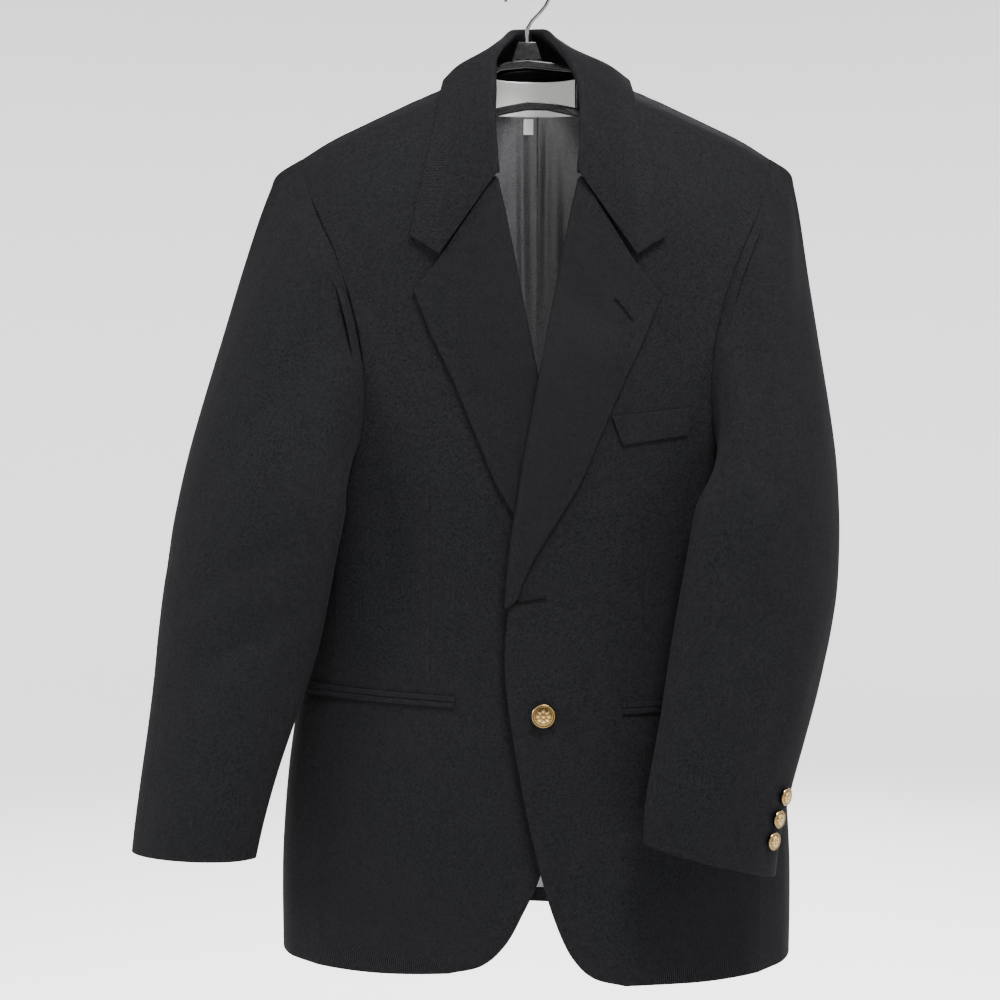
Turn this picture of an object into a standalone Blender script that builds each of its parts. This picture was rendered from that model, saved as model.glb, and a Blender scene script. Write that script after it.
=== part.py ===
"""A single-breasted, two-button blazer with notch lapels, hanging on a plastic hanger.

Units are metres, +Z is up, the fronts face -Y and +X is the wearer's left. The origin is the inside top
of the hanger's hook. Tables are in millimetres; "drop" is the distance below the origin, and "across" is
the distance from the garment's centre line, positive outwards on either side.
"""

import math

import bmesh
import bpy
import numpy as np
from mathutils import Vector

MM = 0.001
CLOTH = 2.0  # thickness of a shell cloth wall
LINING = 1.0
SEAM_HALF = 0.2  # each seam edge stops this far short of the seam line
GARMENT_X = 8.0  # the garment's centre line from the hook, because it hangs a little off centre
BODY_POWER = 2.4  # exponent of the superellipse that the body's sections follow
SHOULDER_ROUND = 150.0  # the body closes to the shoulder ridge over this drop
FRONT_SEAM_ANGLE = math.radians(35)
BACK_SEAM_ANGLE = math.radians(40)
SEAM_RADIUS = 170.0  # the body's radius near its side seams, which turns a gap into an angle


def table(names, *rows):
    """Named columns from rows of numbers."""
    return {name: np.array(column, float) for name, column in zip(names.split(), zip(*rows))}


def smooth(at, xs, ys):
    """A smooth curve through (xs, ys), read at the given places: cubic Hermite, held flat past the ends."""
    at = np.asarray(at, float)
    slopes = np.gradient(ys, xs)
    i = np.clip(np.searchsorted(xs, at) - 1, 0, len(xs) - 2)
    step = xs[i + 1] - xs[i]
    t = np.clip((at - xs[i]) / step, 0, 1)
    start = (2 * t**3 - 3 * t**2 + 1) * ys[i] + (t**3 - 2 * t**2 + t) * step * slopes[i]
    return start + (3 * t**2 - 2 * t**3) * ys[i + 1] + (t**3 - t**2) * step * slopes[i + 1]


def ease(x, low, high):
    """0 below low, 1 above high, and a soft step between."""
    t = np.clip((np.asarray(x, float) - low) / (high - low), 0, 1)
    return t * t * (3 - 2 * t)


def unit(v):
    return v / np.maximum(np.linalg.norm(v, axis=-1, keepdims=True), 1e-9)


# Body sections: half width and the depth of front and back from the hanger's plane
BODY = table(
    "drop width front back",
    (40, 215, 60, 95),
    (101, 215, 66, 92),
    (150, 215, 74, 90),
    (200, 215, 80, 92),
    (300, 215, 85, 96),
    (380, 214, 87, 98),
    (450, 210, 86, 97),
    (500, 205, 84, 95),
    (560, 202, 82, 92),
    (620, 207, 83, 94),
    (690, 217, 85, 98),
    (760, 223, 86, 101),
    (900, 223, 87, 103),
)
RIDGE = table(
    "across drop",
    (-20, 53), (0, 50), (20, 53), (40, 64), (60, 83), (77, 100),
    (112, 117.5), (150, 135.5), (186, 153.5), (208, 167.5), (230, 181),
)
# Where the wearer's left front lies over the right one, it is lifted by this much
LAP_LIFT = 8.0
LAP_ACROSS = (42.0, 120.0)
LAP_DROP = (300.0, 358.0)
VENT_TOP = 640.0
VENT_LAP = 35.0
VENT_LIFT = 3.4
VENT_RISE = (580.0, 615.0)  # the lap is lifted from nothing to full over these drops
VENT_ACROSS = (8.0, 45.0)


def section_depth(across, drop, back):
    """How far the body's outer face lies from the hanger's plane."""
    across = np.abs(across)
    width = smooth(drop, BODY["drop"], BODY["width"])
    depth = smooth(drop, BODY["drop"], BODY["back" if back else "front"])
    round_part = np.maximum(1 - (across / width) ** BODY_POWER, 0) ** (1 / BODY_POWER)
    below = np.maximum(drop - smooth(across, RIDGE["across"], RIDGE["drop"]), 1e-4)
    closing = np.sqrt(1 - np.maximum(1 - below / SHOULDER_ROUND, 0) ** 2)
    return np.maximum(depth * round_part * closing, SEAM_HALF)


def body_point(x, drop, back=False, out=0.0):
    """A point on the body's face, moved out along its normal. x runs to the wearer's left."""
    x, drop = np.broadcast_arrays(np.asarray(x, float), np.asarray(drop, float))
    step = 0.05
    depth = section_depth(x, drop, back)
    by_x = (section_depth(x + step, drop, back) - section_depth(x - step, drop, back)) / (2 * step)
    by_drop = (section_depth(x, drop + step, back) - section_depth(x, drop - step, back)) / (2 * step)
    facing = 1.0 if back else -1.0
    normal = unit(np.stack([-by_x, np.full_like(x, facing), by_drop], -1))
    place = np.stack([x, facing * depth, -drop], -1) + normal * np.asarray(out, float)[..., None]
    place[..., 1] = facing * np.maximum(facing * place[..., 1], SEAM_HALF)
    return place


def side_point(angle, drop, side, out=0.0):
    """A point on the body's side, by its angle from the side towards the front."""
    def place(a, d):
        width = smooth(d, BODY["drop"], BODY["width"])
        depth = np.where(a > 0, smooth(d, BODY["drop"], BODY["front"]), smooth(d, BODY["drop"], BODY["back"]))
        x = width * np.cos(a) ** (2 / BODY_POWER)
        y = -depth * np.sign(a) * np.abs(np.sin(a)) ** (2 / BODY_POWER)
        return np.stack([side * x, y, -d + 0 * x], -1)

    angle, drop = np.broadcast_arrays(np.asarray(angle, float), np.asarray(drop, float))
    around = place(angle + 0.01, drop) - place(angle - 0.01, drop)
    down = place(angle, drop + 0.5) - place(angle, drop - 0.5)
    normal = unit(np.cross(around, down))
    normal = normal * np.sign((normal * place(angle, drop)).sum(-1))[..., None]
    return place(angle, drop) + normal * out


def mesh_object(name, verts, faces, smooth_angle=40):
    """An object from points in the garment's frame, in millimetres."""
    mesh = bpy.data.meshes.new(name)
    mesh.from_pydata((np.asarray(verts) * MM).tolist(), [], faces)
    cage = bmesh.new()
    cage.from_mesh(mesh)
    bmesh.ops.recalc_face_normals(cage, faces=cage.faces)
    cage.to_mesh(mesh)
    cage.free()
    mesh.shade_smooth()
    mesh.set_sharp_from_angle(angle=math.radians(smooth_angle))
    obj = bpy.data.objects.new(name, mesh)
    collection.objects.link(obj)
    return obj


def wall(name, outer, inner, material, parent):
    """A cloth wall: a loft between two grids of points of the same size, closed by a rim all round.

    Both faces are lofted, and not thickened from one, so that the edges of neighbours meet square.
    """
    rows, columns = outer.shape[:2]
    verts = np.concatenate([outer.reshape(-1, 3), inner.reshape(-1, 3)])
    below = rows * columns
    faces = []
    for r in range(rows - 1):
        for c in range(columns - 1):
            a = r * columns + c
            b = a + columns
            faces.append((a, a + 1, b + 1, b))
            # Starts at the same corner, so that a warped cell is split along the same diagonal on both faces.
            faces.append((below + a, below + b, below + b + 1, below + a + 1))
    border = [(0, c) for c in range(columns)] + [(r, columns - 1) for r in range(1, rows)]
    border += [(rows - 1, c) for c in range(columns - 2, -1, -1)] + [(r, 0) for r in range(rows - 2, 0, -1)]
    border = [r * columns + c for r, c in border]
    for a, b in zip(border, border[1:] + border[:1]):
        faces.append((b, a, below + a, below + b))
    obj = mesh_object(name, verts, faces)
    obj.data.materials.append(material)
    obj.parent = parent
    return obj


def finish_material(name, colour, roughness, metallic=0.0):
    material = bpy.data.materials.new(name)
    material.use_nodes = True
    shader = material.node_tree.nodes["Principled BSDF"]
    shader.inputs["Base Color"].default_value = (*colour, 1)
    shader.inputs["Roughness"].default_value = roughness
    shader.inputs["Metallic"].default_value = metallic
    material.diffuse_color = (*colour, 1)
    return material


# Panel outlines. The outer edge of a front or back runs up the side seam and then round the armhole.
OUTER_DROP = np.array([
    870, 850, 820, 785, 745, 705, 665, 625, 585, 545, 510, 480,
    450, 441, 425, 383, 341, 300, 262, 230, 208, 190, 178, 169,
], float)
ARMHOLE_ROW = 12  # the row of OUTER_DROP where the side seam ends and the armhole starts
ARMHOLE = table(
    "drop front back",
    (169, 208, 208), (178, 206, 207), (190, 203, 206), (208, 197, 203), (230, 188, 198), (262, 173, 190),
    (300, 159, 180), (341, 150, 174), (383, 147, 170), (425, 152, 168), (441, 163, 167.5), (450, 176, 168),
)
COLUMNS = 12  # cells from a panel's centre edge to its outer edge

# Front edges from the hem corner up: cutaway, front edge, roll line and neckline
LEFT_EDGE = table(
    "across drop",
    (72, 876), (45, 868), (27, 850), (14, 822), (3, 787), (-7, 745), (-15, 705), (-23.5, 655), (-28, 608),
    (-29, 560), (-25, 515), (-18.5, 472), (-13, 437), (-6, 400), (-0.5, 368), (6, 332), (13, 296), (20, 260),
    (27, 226), (33, 197), (44, 153), (53, 131), (64, 114), (76.7, 101),
)
RIGHT_EDGE = table(
    "across drop",
    (75, 867), (47, 860), (27, 842), (12, 815), (-1, 787), (-12, 745), (-20, 705), (-26, 655), (-29, 608),
    (-29.5, 560), (-25, 515), (-19, 472), (-13, 437), (-6.5, 400), (-1, 368), (6, 332), (13, 296), (20, 260),
    (27, 226), (33, 197), (44, 153), (53, 131), (64, 114), (76.7, 101),
)
BACK_EDGE_DROP = np.array([
    850, 832, 804, 770, 730, 690, 650, 620, 580, 540, 505, 470,
    435, 405, 370, 330, 290, 250, 212, 175, 145, 116, 93, 75,
], float)
BREAK_ROW = 9  # the row of a front edge where the roll line starts
NECK_ROW = 19  # the row where the roll line ends and the neckline starts
NECKLINE = table("across drop", (0, 75), (17, 76), (35, 80.5), (54, 90.5), (77, 100.5))
LEFT_HEM_DROP, RIGHT_HEM_DROP, BACK_HEM_DROP = 874.0, 867.0, 851.0
SIDE_HEM_EXTRA = 6.0  # the back's hem is this much lower at its side seam
FRONT_HEM_SAG = 2.0
SEAM_TOP, HEM_DROP = 450.0, 870.0  # OUTER_DROP's side seam runs between these


def armhole_across(drop, back):
    return smooth(drop, ARMHOLE["drop"], ARMHOLE["back" if back else "front"])


def seam_across(drop, back, gap=SEAM_HALF):
    """Where the side seam of a front or back panel lies."""
    angle = BACK_SEAM_ANGLE if back else FRONT_SEAM_ANGLE
    width = smooth(drop, BODY["drop"], BODY["width"])
    return width * np.cos(angle + gap / SEAM_RADIUS) ** (2 / BODY_POWER)


def outer_edge(back, hem):
    """Across and drop of a panel's outer edge, row by row."""
    drop = OUTER_DROP.copy()
    low = np.arange(len(drop)) <= ARMHOLE_ROW
    drop[low] = SEAM_TOP + (drop[low] - SEAM_TOP) * (hem - SEAM_TOP) / (HEM_DROP - SEAM_TOP)
    across = np.where(low, seam_across(drop, back), armhole_across(drop, back))
    return across, drop


def panel_grid(edge_across, edge_drop, back, hem, hem_sag):
    """Across and drop of a panel's points: rows run from its centre edge to its outer edge."""
    outer_across, outer_drop = outer_edge(back, hem)
    t = np.linspace(0, 1, COLUMNS + 1)[None, :]
    across = edge_across[:, None] * (1 - t) + outer_across[:, None] * t
    drop = edge_drop[:, None] * (1 - t) + outer_drop[:, None] * t
    top = smooth(across[-1], RIDGE["across"], RIDGE["drop"])
    if back:
        inside = across[-1] < NECKLINE["across"][-1]
        top = np.where(inside, smooth(across[-1], NECKLINE["across"], NECKLINE["drop"]), top)
    rows = np.arange(len(edge_drop))[:, None]
    near_top = ease(rows, NECK_ROW - 3, len(edge_drop) - 1)
    drop = drop + (top - drop[-1])[None, :] * near_top
    near_hem = 1 - ease(rows, 0, 4)
    drop = drop + hem_sag * np.sin(np.pi * t) * near_hem
    return across, drop


def front_lift(x, drop):
    """The lift of the wearer's left front where it laps over the right one."""
    return LAP_LIFT * (1 - ease(x, *LAP_ACROSS)) * ease(drop, *LAP_DROP)


def front_out(side, x, drop):
    return front_lift(x, drop) if side > 0 else np.zeros_like(x)


def make_front(name, side, edge, hem):
    edge_across = edge["across"].copy()
    rows = np.arange(len(edge_across))
    rolled = ease(rows, BREAK_ROW - 1, BREAK_ROW) * (rows <= NECK_ROW)
    edge_across += ROLL_TUCK * rolled
    across, drop = panel_grid(edge_across, edge["drop"], False, hem, FRONT_HEM_SAG)
    x = side * across
    lift = front_out(side, x, drop)
    outer, inner = body_point(x, drop, out=lift), body_point(x, drop, out=lift - CLOTH)
    wall(name, outer, inner, cloth, garment)
    return outer, inner


def make_back(name, side):
    edge_across = np.full(len(BACK_EDGE_DROP), SEAM_HALF)
    if side > 0:
        edge_across -= VENT_LAP * (BACK_EDGE_DROP > VENT_TOP)
    across, drop = panel_grid(edge_across, BACK_EDGE_DROP, True, BACK_HEM_DROP + SIDE_HEM_EXTRA, 0.0)
    x = side * across
    lift = VENT_LIFT * ease(drop, *VENT_RISE) * (1 - ease(across, *VENT_ACROSS)) * (side > 0)
    outer, inner = body_point(x, drop, True, lift), body_point(x, drop, True, lift - CLOTH)
    wall(name, outer, inner, cloth, garment)
    return outer, inner


SIDE_TURNS = np.array([1, 0.5, 0, -0.5, -1])


def make_side(name, side, front_hem):
    angles = np.where(SIDE_TURNS > 0, SIDE_TURNS * FRONT_SEAM_ANGLE, SIDE_TURNS * BACK_SEAM_ANGLE)
    angles = angles - np.sign(SIDE_TURNS) * (np.abs(SIDE_TURNS) == 1) * SEAM_HALF / SEAM_RADIUS
    low = OUTER_DROP[: ARMHOLE_ROW + 1]
    hem = np.interp(SIDE_TURNS, (-1, 1), (BACK_HEM_DROP + SIDE_HEM_EXTRA, front_hem))
    drop = SEAM_TOP + (low[:, None] - SEAM_TOP) * (hem[None, :] - SEAM_TOP) / (HEM_DROP - SEAM_TOP)
    angle = np.broadcast_to(angles, drop.shape)
    outer, inner = side_point(angle, drop, side), side_point(angle, drop, side, -CLOTH)
    wall(name, outer, inner, cloth, garment)
    return outer, inner


# Sleeves. The ring round the armhole, by how its cloth turns away from the body, where it goes on the arm
# and how much it is eased there.
RING = table(
    "leave turn eased",
    (10, 0, 0), (10, 9, 0), (12, 18, 0), (16, 29, 0), (24, 41, 0), (36, 57, 0), (50, 78, 0), (64, 103, 0),
    (78, 135, 0), (88, 168, 0), (94, 190, 0.1), (98, 206, 0.2), (100, 220, 0.4), (100, 236, 0.6),
    (98, 252, 0.8), (94, 267, 1), (88, 280, 1), (80, 292, 1), (70, 304, 1), (58, 314, 0.9),
    (46, 323, 0.7), (34, 331, 0.4), (25, 338, 0.2), (18, 344, 0), (13, 350, 0), (10, 355, 0),
)
EASINGS = 4
FACING_ROWS = 3
SLEEVE_SEAM_HALF = 0.35
FORE_SEAM, HIND_SEAM = 12, 20  # places in RING where top and under sleeve are joined
SLEEVE_COLUMNS = "drop inner_across inner_y outer_across outer_y front back twist slope"
RIGHT_SLEEVE = table(
    SLEEVE_COLUMNS,
    (480, 160, -88, 312, -12, 46, 104, 0, 0),
    (520, 168, -88, 319, -14, 43, 84, 0, 0),
    (570, 180, -85, 326, -16, 41, 60, 2, 0),
    (625, 195, -82, 331, -20, 39, 42, 4, 0.01),
    (680, 213, -82, 337, -26, 37, 30, 6, 0.02),
    (720, 226, -82, 342, -32, 35, 28, 8, 0.01),
    (771, 238, -82, 347, -40, 33, 27, 10, 0),
)
LEFT_SLEEVE = table(
    SLEEVE_COLUMNS,
    (480, 128, -102, 257, -22, 44, 100, 0, 0),
    (520, 122, -106, 257, -28, 42, 84, 4, 0.02),
    (570, 116, -110, 251, -40, 40, 60, 9, 0.06),
    (625, 107, -114, 236, -56, 37, 40, 15, 0.12),
    (680, 97, -120, 217, -74, 33, 28, 20, 0.18),
    (720, 88, -124, 204, -86, 30, 22, 24, 0.24),
    (765, 84, -126, 196, -92, 27, 20, 28, 0.29),
)
CAP_STEPS = (0.07, 0.17, 0.3, 0.46, 0.64, 0.82)
SLEEVE_HEAD = {-1: 20.0, 1: 16.0}  # how far the padded sleeve head stands out past the armhole
ARM_STEPS = (0, 0.12, 0.24, 0.37, 0.5, 0.63, 0.76, 0.89, 1)
SEAM_PULL = 14.0  # how strongly a sleeve's cloth keeps to its seam's direction
STRAIGHT_BACK = (500.0, 620.0)
BODY_CLEAR = 8.0  # a sleeve stays at least this far off the body
ARM_TOP = 480.0  # drop where the open cap has become the arm's tube
OUT_PULL, DOWN_PULL = 0.34, 0.92  # the cap's pulls at both ends, as shares of its length
HEAD_SPREAD, HEAD_POWER = 1.1, 1.2  # how fast the padded head fades round the ring
HEAD_EASE = 0.55  # the share of the outward pull that the padded head takes up
CAP_CLEAR = 0.6  # the share of that clearance kept while the cap is eased
CREASE_CLEAR = 1.0
TURN_LENGTH = 1.1  # millimetres of cloth in one degree of turn
# Creases of a sleeve: from and to a drop and a turn, half width and depth
SLEEVE_CREASES = {
    -1: table("drop_a turn_a drop_b turn_b width depth",
              (250, 60, 400, 95, 16, 5), (560, 150, 640, 40, 14, 4), (690, 120, 720, 30, 12, 3)),
    1: table("drop_a turn_a drop_b turn_b width depth",
             (230, 25, 455, 100, 16, 6), (565, 135, 620, 60, 14, 4), (640, 30, 700, 110, 12, 3)),
}


def sleeve_section(sleeve, turn, drop):
    """A point on the arm, in outward-positive coordinates, from its turn round the section in degrees."""
    at = {name: smooth(drop, sleeve["drop"], sleeve[name]) for name in sleeve if name != "drop"}
    turn = np.radians(np.asarray(turn, float) + at["twist"])
    inner = np.stack([at["inner_across"], at["inner_y"]], -1)
    outer = np.stack([at["outer_across"], at["outer_y"]], -1)
    half = (outer - inner) / 2
    along = unit(half)
    forward = np.stack([along[..., 1], -along[..., 0]], -1)
    # High up, the back of the arm stands straight back from it, and clear of the body's side.
    low = ease(drop, *STRAIGHT_BACK)[..., None]
    backward = unit(forward * low + np.array([0, -1.0]) * (1 - low))
    ahead, behind = forward * at["front"][..., None], backward * at["back"][..., None]
    depth = np.where(np.sin(turn)[..., None] > 0, ahead, behind)
    place = (inner + outer) / 2 + half * np.cos(turn)[..., None] + depth * np.sin(turn)[..., None]
    lower = drop + at["slope"] * (place[..., 0] - (inner + outer)[..., 0] / 2)
    return clear_of_body(np.stack([place[..., 0], place[..., 1], -lower], -1), BODY_CLEAR)


def clear_of_body(point, margin):
    """Points that would lie inside the body's section are pushed out to the margin, as cloth would be."""
    x, y, drop = point[..., 0], point[..., 1], -point[..., 2]
    width = smooth(drop, BODY["drop"], BODY["width"]) + margin
    depth = np.where(y < 0, smooth(drop, BODY["drop"], BODY["front"]), smooth(drop, BODY["drop"], BODY["back"]))
    depth = depth + margin
    reach = (np.abs(x / width) ** BODY_POWER + np.abs(y / depth) ** BODY_POWER) ** (1 / BODY_POWER)
    grow = np.maximum(1 / np.maximum(reach, 0.05), 1)
    return np.stack([x * grow, y * grow, -drop], -1)


def grid_normals(grid):
    """Outward normals of a tube's grid, whose columns go all the way round."""
    around = np.roll(grid, -1, 1) - np.roll(grid, 1, 1)
    along = np.gradient(grid, axis=0)
    normal = unit(np.cross(around, along))
    middle = grid.mean(1, keepdims=True)
    return normal * np.sign((normal * (grid - middle)).sum((1, 2), keepdims=True))


def armhole_ring(side, front, side_wall, back):
    """Edge points, outward normals and the direction away from the panel, round the armhole."""
    def edge(outer, inner, before):
        normal = unit(outer - inner)
        away = unit(outer - before)
        return outer, normal, unit(away - normal * (away * normal).sum(-1, keepdims=True))

    rows = slice(None, ARMHOLE_ROW - 1, -1)
    front_edge = edge(front[0][rows, -1], front[1][rows, -1], front[0][rows, -2])
    back_edge = edge(back[0][rows, -1], back[1][rows, -1], back[0][rows, -2])
    top = edge(side_wall[0][-1, 1:-1], side_wall[1][-1, 1:-1], side_wall[0][-2, 1:-1])
    parts = [np.concatenate([f, s, b[::-1][:-1]]) for f, s, b in zip(front_edge, top, back_edge)]
    for part, other in zip(parts, back_edge):
        part[0] = (part[0] + other[0]) / 2
    place, normal, away = parts
    along = np.roll(place, -1, 0) - np.roll(place, 1, 0)
    across = unit(np.cross(along, normal))
    across = across * np.sign((across * away).sum(-1, keepdims=True))
    return [part * np.array([side, 1, 1]) for part in (place, normal, across)]


def sleeve_grids(side, sleeve, ring):
    """Outer and inner points of a whole sleeve, in the garment's frame."""
    place, normal, away = ring
    leave = np.radians(RING["leave"])[:, None]
    departs = away * np.cos(leave) + normal * np.sin(leave)
    faces = normal * np.cos(leave) - away * np.sin(leave)
    start = place + 3 * SEAM_HALF * (away * np.cos(leave / 2) + normal * np.sin(leave / 2))
    end = sleeve_section(sleeve, RING["turn"], np.full(len(RING["turn"]), ARM_TOP))
    below = sleeve_section(sleeve, RING["turn"], np.full(len(RING["turn"]), ARM_TOP + 4))
    reach = np.linalg.norm(end - start, axis=-1, keepdims=True)
    out_pull = departs * np.maximum(reach * OUT_PULL, SEAM_PULL)
    down_pull = unit(below - end) * reach * DOWN_PULL
    from_top = np.radians(np.minimum(RING["turn"], 360 - RING["turn"]))[:, None]
    head = np.maximum(np.cos(HEAD_SPREAD * from_top), 0) ** HEAD_POWER
    shoulder = start + departs * SLEEVE_HEAD[side] * head
    out_pull = out_pull * (1 - HEAD_EASE * head)
    rows = [start]
    for t in CAP_STEPS:
        row = (2 * t**3 - 3 * t**2 + 1) * shoulder + (t**3 - 2 * t**2 + t) * out_pull
        row = row + (3 * t**2 - 2 * t**3) * end + (t**3 - t**2) * down_pull
        rows.append(clear_of_body(row, BODY_CLEAR * min(1, t / 0.5)))
    first, last = sleeve["drop"][0], sleeve["drop"][-1]
    for step in ARM_STEPS:
        level = np.full(len(RING["turn"]), first + (last - first) * step)
        rows.append(sleeve_section(sleeve, RING["turn"], level))
    outer = np.stack(rows)
    easing = RING["eased"] * ease(np.arange(len(outer)), 1, 6)[:, None]
    for _ in range(EASINGS):
        eased = (np.roll(outer, 1, 1) + 2 * outer + np.roll(outer, -1, 1)) / 4
        eased[1:-1] = eased[1:-1] / 2 + (eased[:-2] + eased[2:]) / 4
        outer += (eased - outer) * easing[..., None]
        outer[3:] = clear_of_body(outer[3:], BODY_CLEAR * CAP_CLEAR)
    normals = grid_normals(outer)
    creases = SLEEVE_CREASES[side]
    for k in range(len(creases["depth"])):
        one = {name: column[k] for name, column in creases.items()}
        turn_span = (one["turn_b"] - one["turn_a"]) * TURN_LENGTH
        drop_span = one["drop_b"] - one["drop_a"]
        u = (RING["turn"][None, :] - one["turn_a"]) * TURN_LENGTH
        v = -outer[..., 2] - one["drop_a"]
        along = np.clip((u * turn_span + v * drop_span) / (turn_span**2 + drop_span**2), 0, 1)
        apart = np.hypot(u - along * turn_span, v - along * drop_span)
        dent = one["depth"] * np.exp(-((apart / one["width"]) ** 2)) * np.sin(np.pi * np.clip(along, 0.1, 0.9))
        outer[1:-1] -= (normals * dent[..., None])[1:-1]
    outer[1:] = clear_of_body(outer[1:], CREASE_CLEAR)
    normals = grid_normals(outer)
    # Near the seam the cloth's facing swings from the seam's own to that of the open sleeve.
    for row in range(FACING_ROWS):
        share = row / FACING_ROWS
        normals[row] = unit(faces * (1 - share) + normals[FACING_ROWS] * share)
    inner = outer - CLOTH * normals
    return outer * np.array([side, 1, 1]), inner * np.array([side, 1, 1])


def strip(grid, first, last):
    """Columns first to last of a grid that goes round, with both end columns pulled in from the seam."""
    picked = grid[:, [k % grid.shape[1] for k in range(first, last + 1)]].copy()
    ends = (picked[:, 0] + SLEEVE_SEAM_HALF * unit(picked[:, 1] - picked[:, 0]),
            picked[:, -1] + SLEEVE_SEAM_HALF * unit(picked[:, -2] - picked[:, -1]))
    picked[:, 0], picked[:, -1] = ends
    return picked


def make_sleeve(word, side, sleeve, ring):
    outer, inner = sleeve_grids(side, sleeve, ring)
    count = outer.shape[1]
    for part, first, last in (("top", HIND_SEAM - count, FORE_SEAM), ("under", FORE_SEAM, HIND_SEAM)):
        wall(f"sleeve_{word}_{part}", strip(outer, first, last), strip(inner, first, last), cloth, garment)


# Lapels and collar
ROLL_TUCK = 4.0  # the front panel's edge stops this far inside the rolled edge
ROLL_RADIUS = 2.6  # radius of the cloth's middle round the roll
ROLL_TURNS = (90, 45, 0, -55)  # from above the panel round its edge to just below it
FACING = 2.0  # thickness of lapel and collar cloth
LAPEL_OFF = 1.0  # clear space between a lapel and its front panel
LAPEL_BELLY = 1.2  # the lapel's middle stands this much further off
GORGE_GAP = 2.2  # the lapel's top edge stops this far short of the collar
LAPEL_RISE = (0.6, 1.0)  # the share of the lapel's width over which it rises to its roll
LAPEL_FREE_ROW = {-1: 13, 1: 9}  # above this row a lapel's middle stands off its panel
LAPEL_SHIFT_ROWS = (12, 15)
LAPEL_CELLS = 5
LAPEL_SHIFT = {-1: (1.0, 0.0), 1: (0.0, 4.0)}  # each lapel's edge further across and down than the table
# Lapel edge: across and drop, from the break up to the gorge's outer end, then the gorge's inner end
LAPEL = table(
    "row edge_across edge_drop",
    (9, -17.5, 553), (10, -6, 524), (11, 13, 492), (12, 34, 457), (13, 52, 414), (14, 65.5, 381),
    (15, 78, 353), (16, 89, 330), (17, 97.5, 309), (18, 103.5, 294.5), (19, 82.5, 267),
)


def make_lapel(name, side, edge):
    rows = LAPEL["row"].astype(int)
    roll_across = edge["across"][rows] + ROLL_TUCK
    roll_drop = edge["drop"][rows]
    point_across = LAPEL["edge_across"] + LAPEL_SHIFT[side][0]
    point_drop = LAPEL["edge_drop"] + LAPEL_SHIFT[side][1] * ease(LAPEL["row"], *LAPEL_SHIFT_ROWS)
    t = np.linspace(0, 1, LAPEL_CELLS + 1)[:, None]
    across = point_across * (1 - t) + roll_across * t
    drop = point_drop * (1 - t) + roll_drop * t
    across, drop = across.T, drop.T
    drop[-1] += GORGE_GAP
    x = side * across
    base = front_out(side, x, drop)
    rise = LAPEL_OFF + FACING / 2 + (ROLL_RADIUS - CLOTH / 2 - LAPEL_OFF) * ease(t.T, *LAPEL_RISE)
    first_free = LAPEL_FREE_ROW[side]
    rise = rise + LAPEL_BELLY * np.sin(np.pi * t.T) * ease(LAPEL["row"], first_free, first_free + 3)[:, None]
    half = FACING / 2
    heart = body_point(x[:, -1], drop[:, -1], out=base[:, -1] - CLOTH / 2)
    over = unit(body_point(x[:, -1], drop[:, -1], out=base[:, -1] + 1) - heart)
    nearer = unit(body_point(x[:, -1] - side * 2, drop[:, -1], out=base[:, -1] - CLOTH / 2) - heart)
    faces = []
    for reach in (half, -half):
        rolled = [
            heart + (ROLL_RADIUS + reach) * (nearer * math.cos(a) + over * math.sin(a))
            for a in np.radians(ROLL_TURNS)
        ]
        flat = body_point(x[:, :-1], drop[:, :-1], out=(base + rise)[:, :-1] + reach)
        faces.append(np.concatenate([flat, np.stack(rolled, 1)], 1))
    wall(name, *faces, cloth, garment)


def thicken(middle, thickness):
    """Two faces, half the thickness either side of a grid of middle points."""
    across = np.gradient(middle, axis=1)
    along = np.gradient(middle, axis=0)
    normal = unit(np.cross(across, along))
    return middle + normal * thickness / 2, middle - normal * thickness / 2


# Collar stations from the gorge to the centre back: the fold line, the leaf's edge and the neck seam.
# "behind" is 1 where the leaf's edge or the neck seam lies on the back.
COLLAR = table(
    "fold_across fold_y fold_drop leaf_across leaf_drop leaf_behind neck_across neck_drop neck_behind",
    (33, -83, 194, 107, 248, 0, 36, 197, 0),
    (34.8, -80, 178, 103, 228, 0, 38, 182, 0),
    (35.8, -75, 161, 99, 209, 0, 41, 166, 0),
    (36.1, -70, 148, 95, 190, 0, 44.5, 153, 0),
    (36.2, -64, 136, 91, 170, 0, 48, 142, 0),
    (35.8, -58, 122, 87.5, 153, 0, 53, 131, 0),
    (35, -51, 110, 85, 138, 0, 58, 122, 0),
    (33, -44, 98, 83, 122, 0, 64, 114, 0),
    (31, -35, 87, 81, 110, 0, 70, 107, 0),
    (27, -22, 76, 79, 103, 0, 76.7, 101, 0),
    (24, -8, 67, 76, 104.5, 1, 69, 98, 1),
    (19, 11, 57, 66, 107, 1, 54, 90.5, 1),
    (14, 28, 46.5, 48, 103, 1, 35, 80.5, 1),
    (7.5, 41, 41.5, 24, 96, 1, 17, 76, 1),
    (0, 48, 39.5, 0, 92, 1, 0, 75, 1),
)
NOTCH = (82.5, 264.0)  # the notch's inner corner, where the gorge seam ends
LEAF_SHARE = 0.66  # where on the leaf, from its fold, its lower middle points lie
LEAF_BULGE = 5.0  # how far the leaf's middle stands out from a straight line at the neck's back
COLLAR_LEAN = -6.0  # the back of the collar leans to the wearer's right
COLLAR_ROLL = 3.2  # half the width of the collar's fold, less where its stand is low
NECK_GAP = 3.4  # the stand's lower edge stops this far from the neckline
LEAF_OFF = 2.6  # the collar leaf's middle above the panel, at its edge
LEAF_LIFT = 3.2  # its middle near the fold, above the panel
LEAF_UP = 60.0  # how strongly the leaf's outward direction points up
SHOULDER_STATION = 8  # from this station on the leaf lies over the shoulder and the back
BEND_STATIONS = 3  # the notch's bend fades out over this many stations
LEAN_STATIONS = (5, 9)
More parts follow.
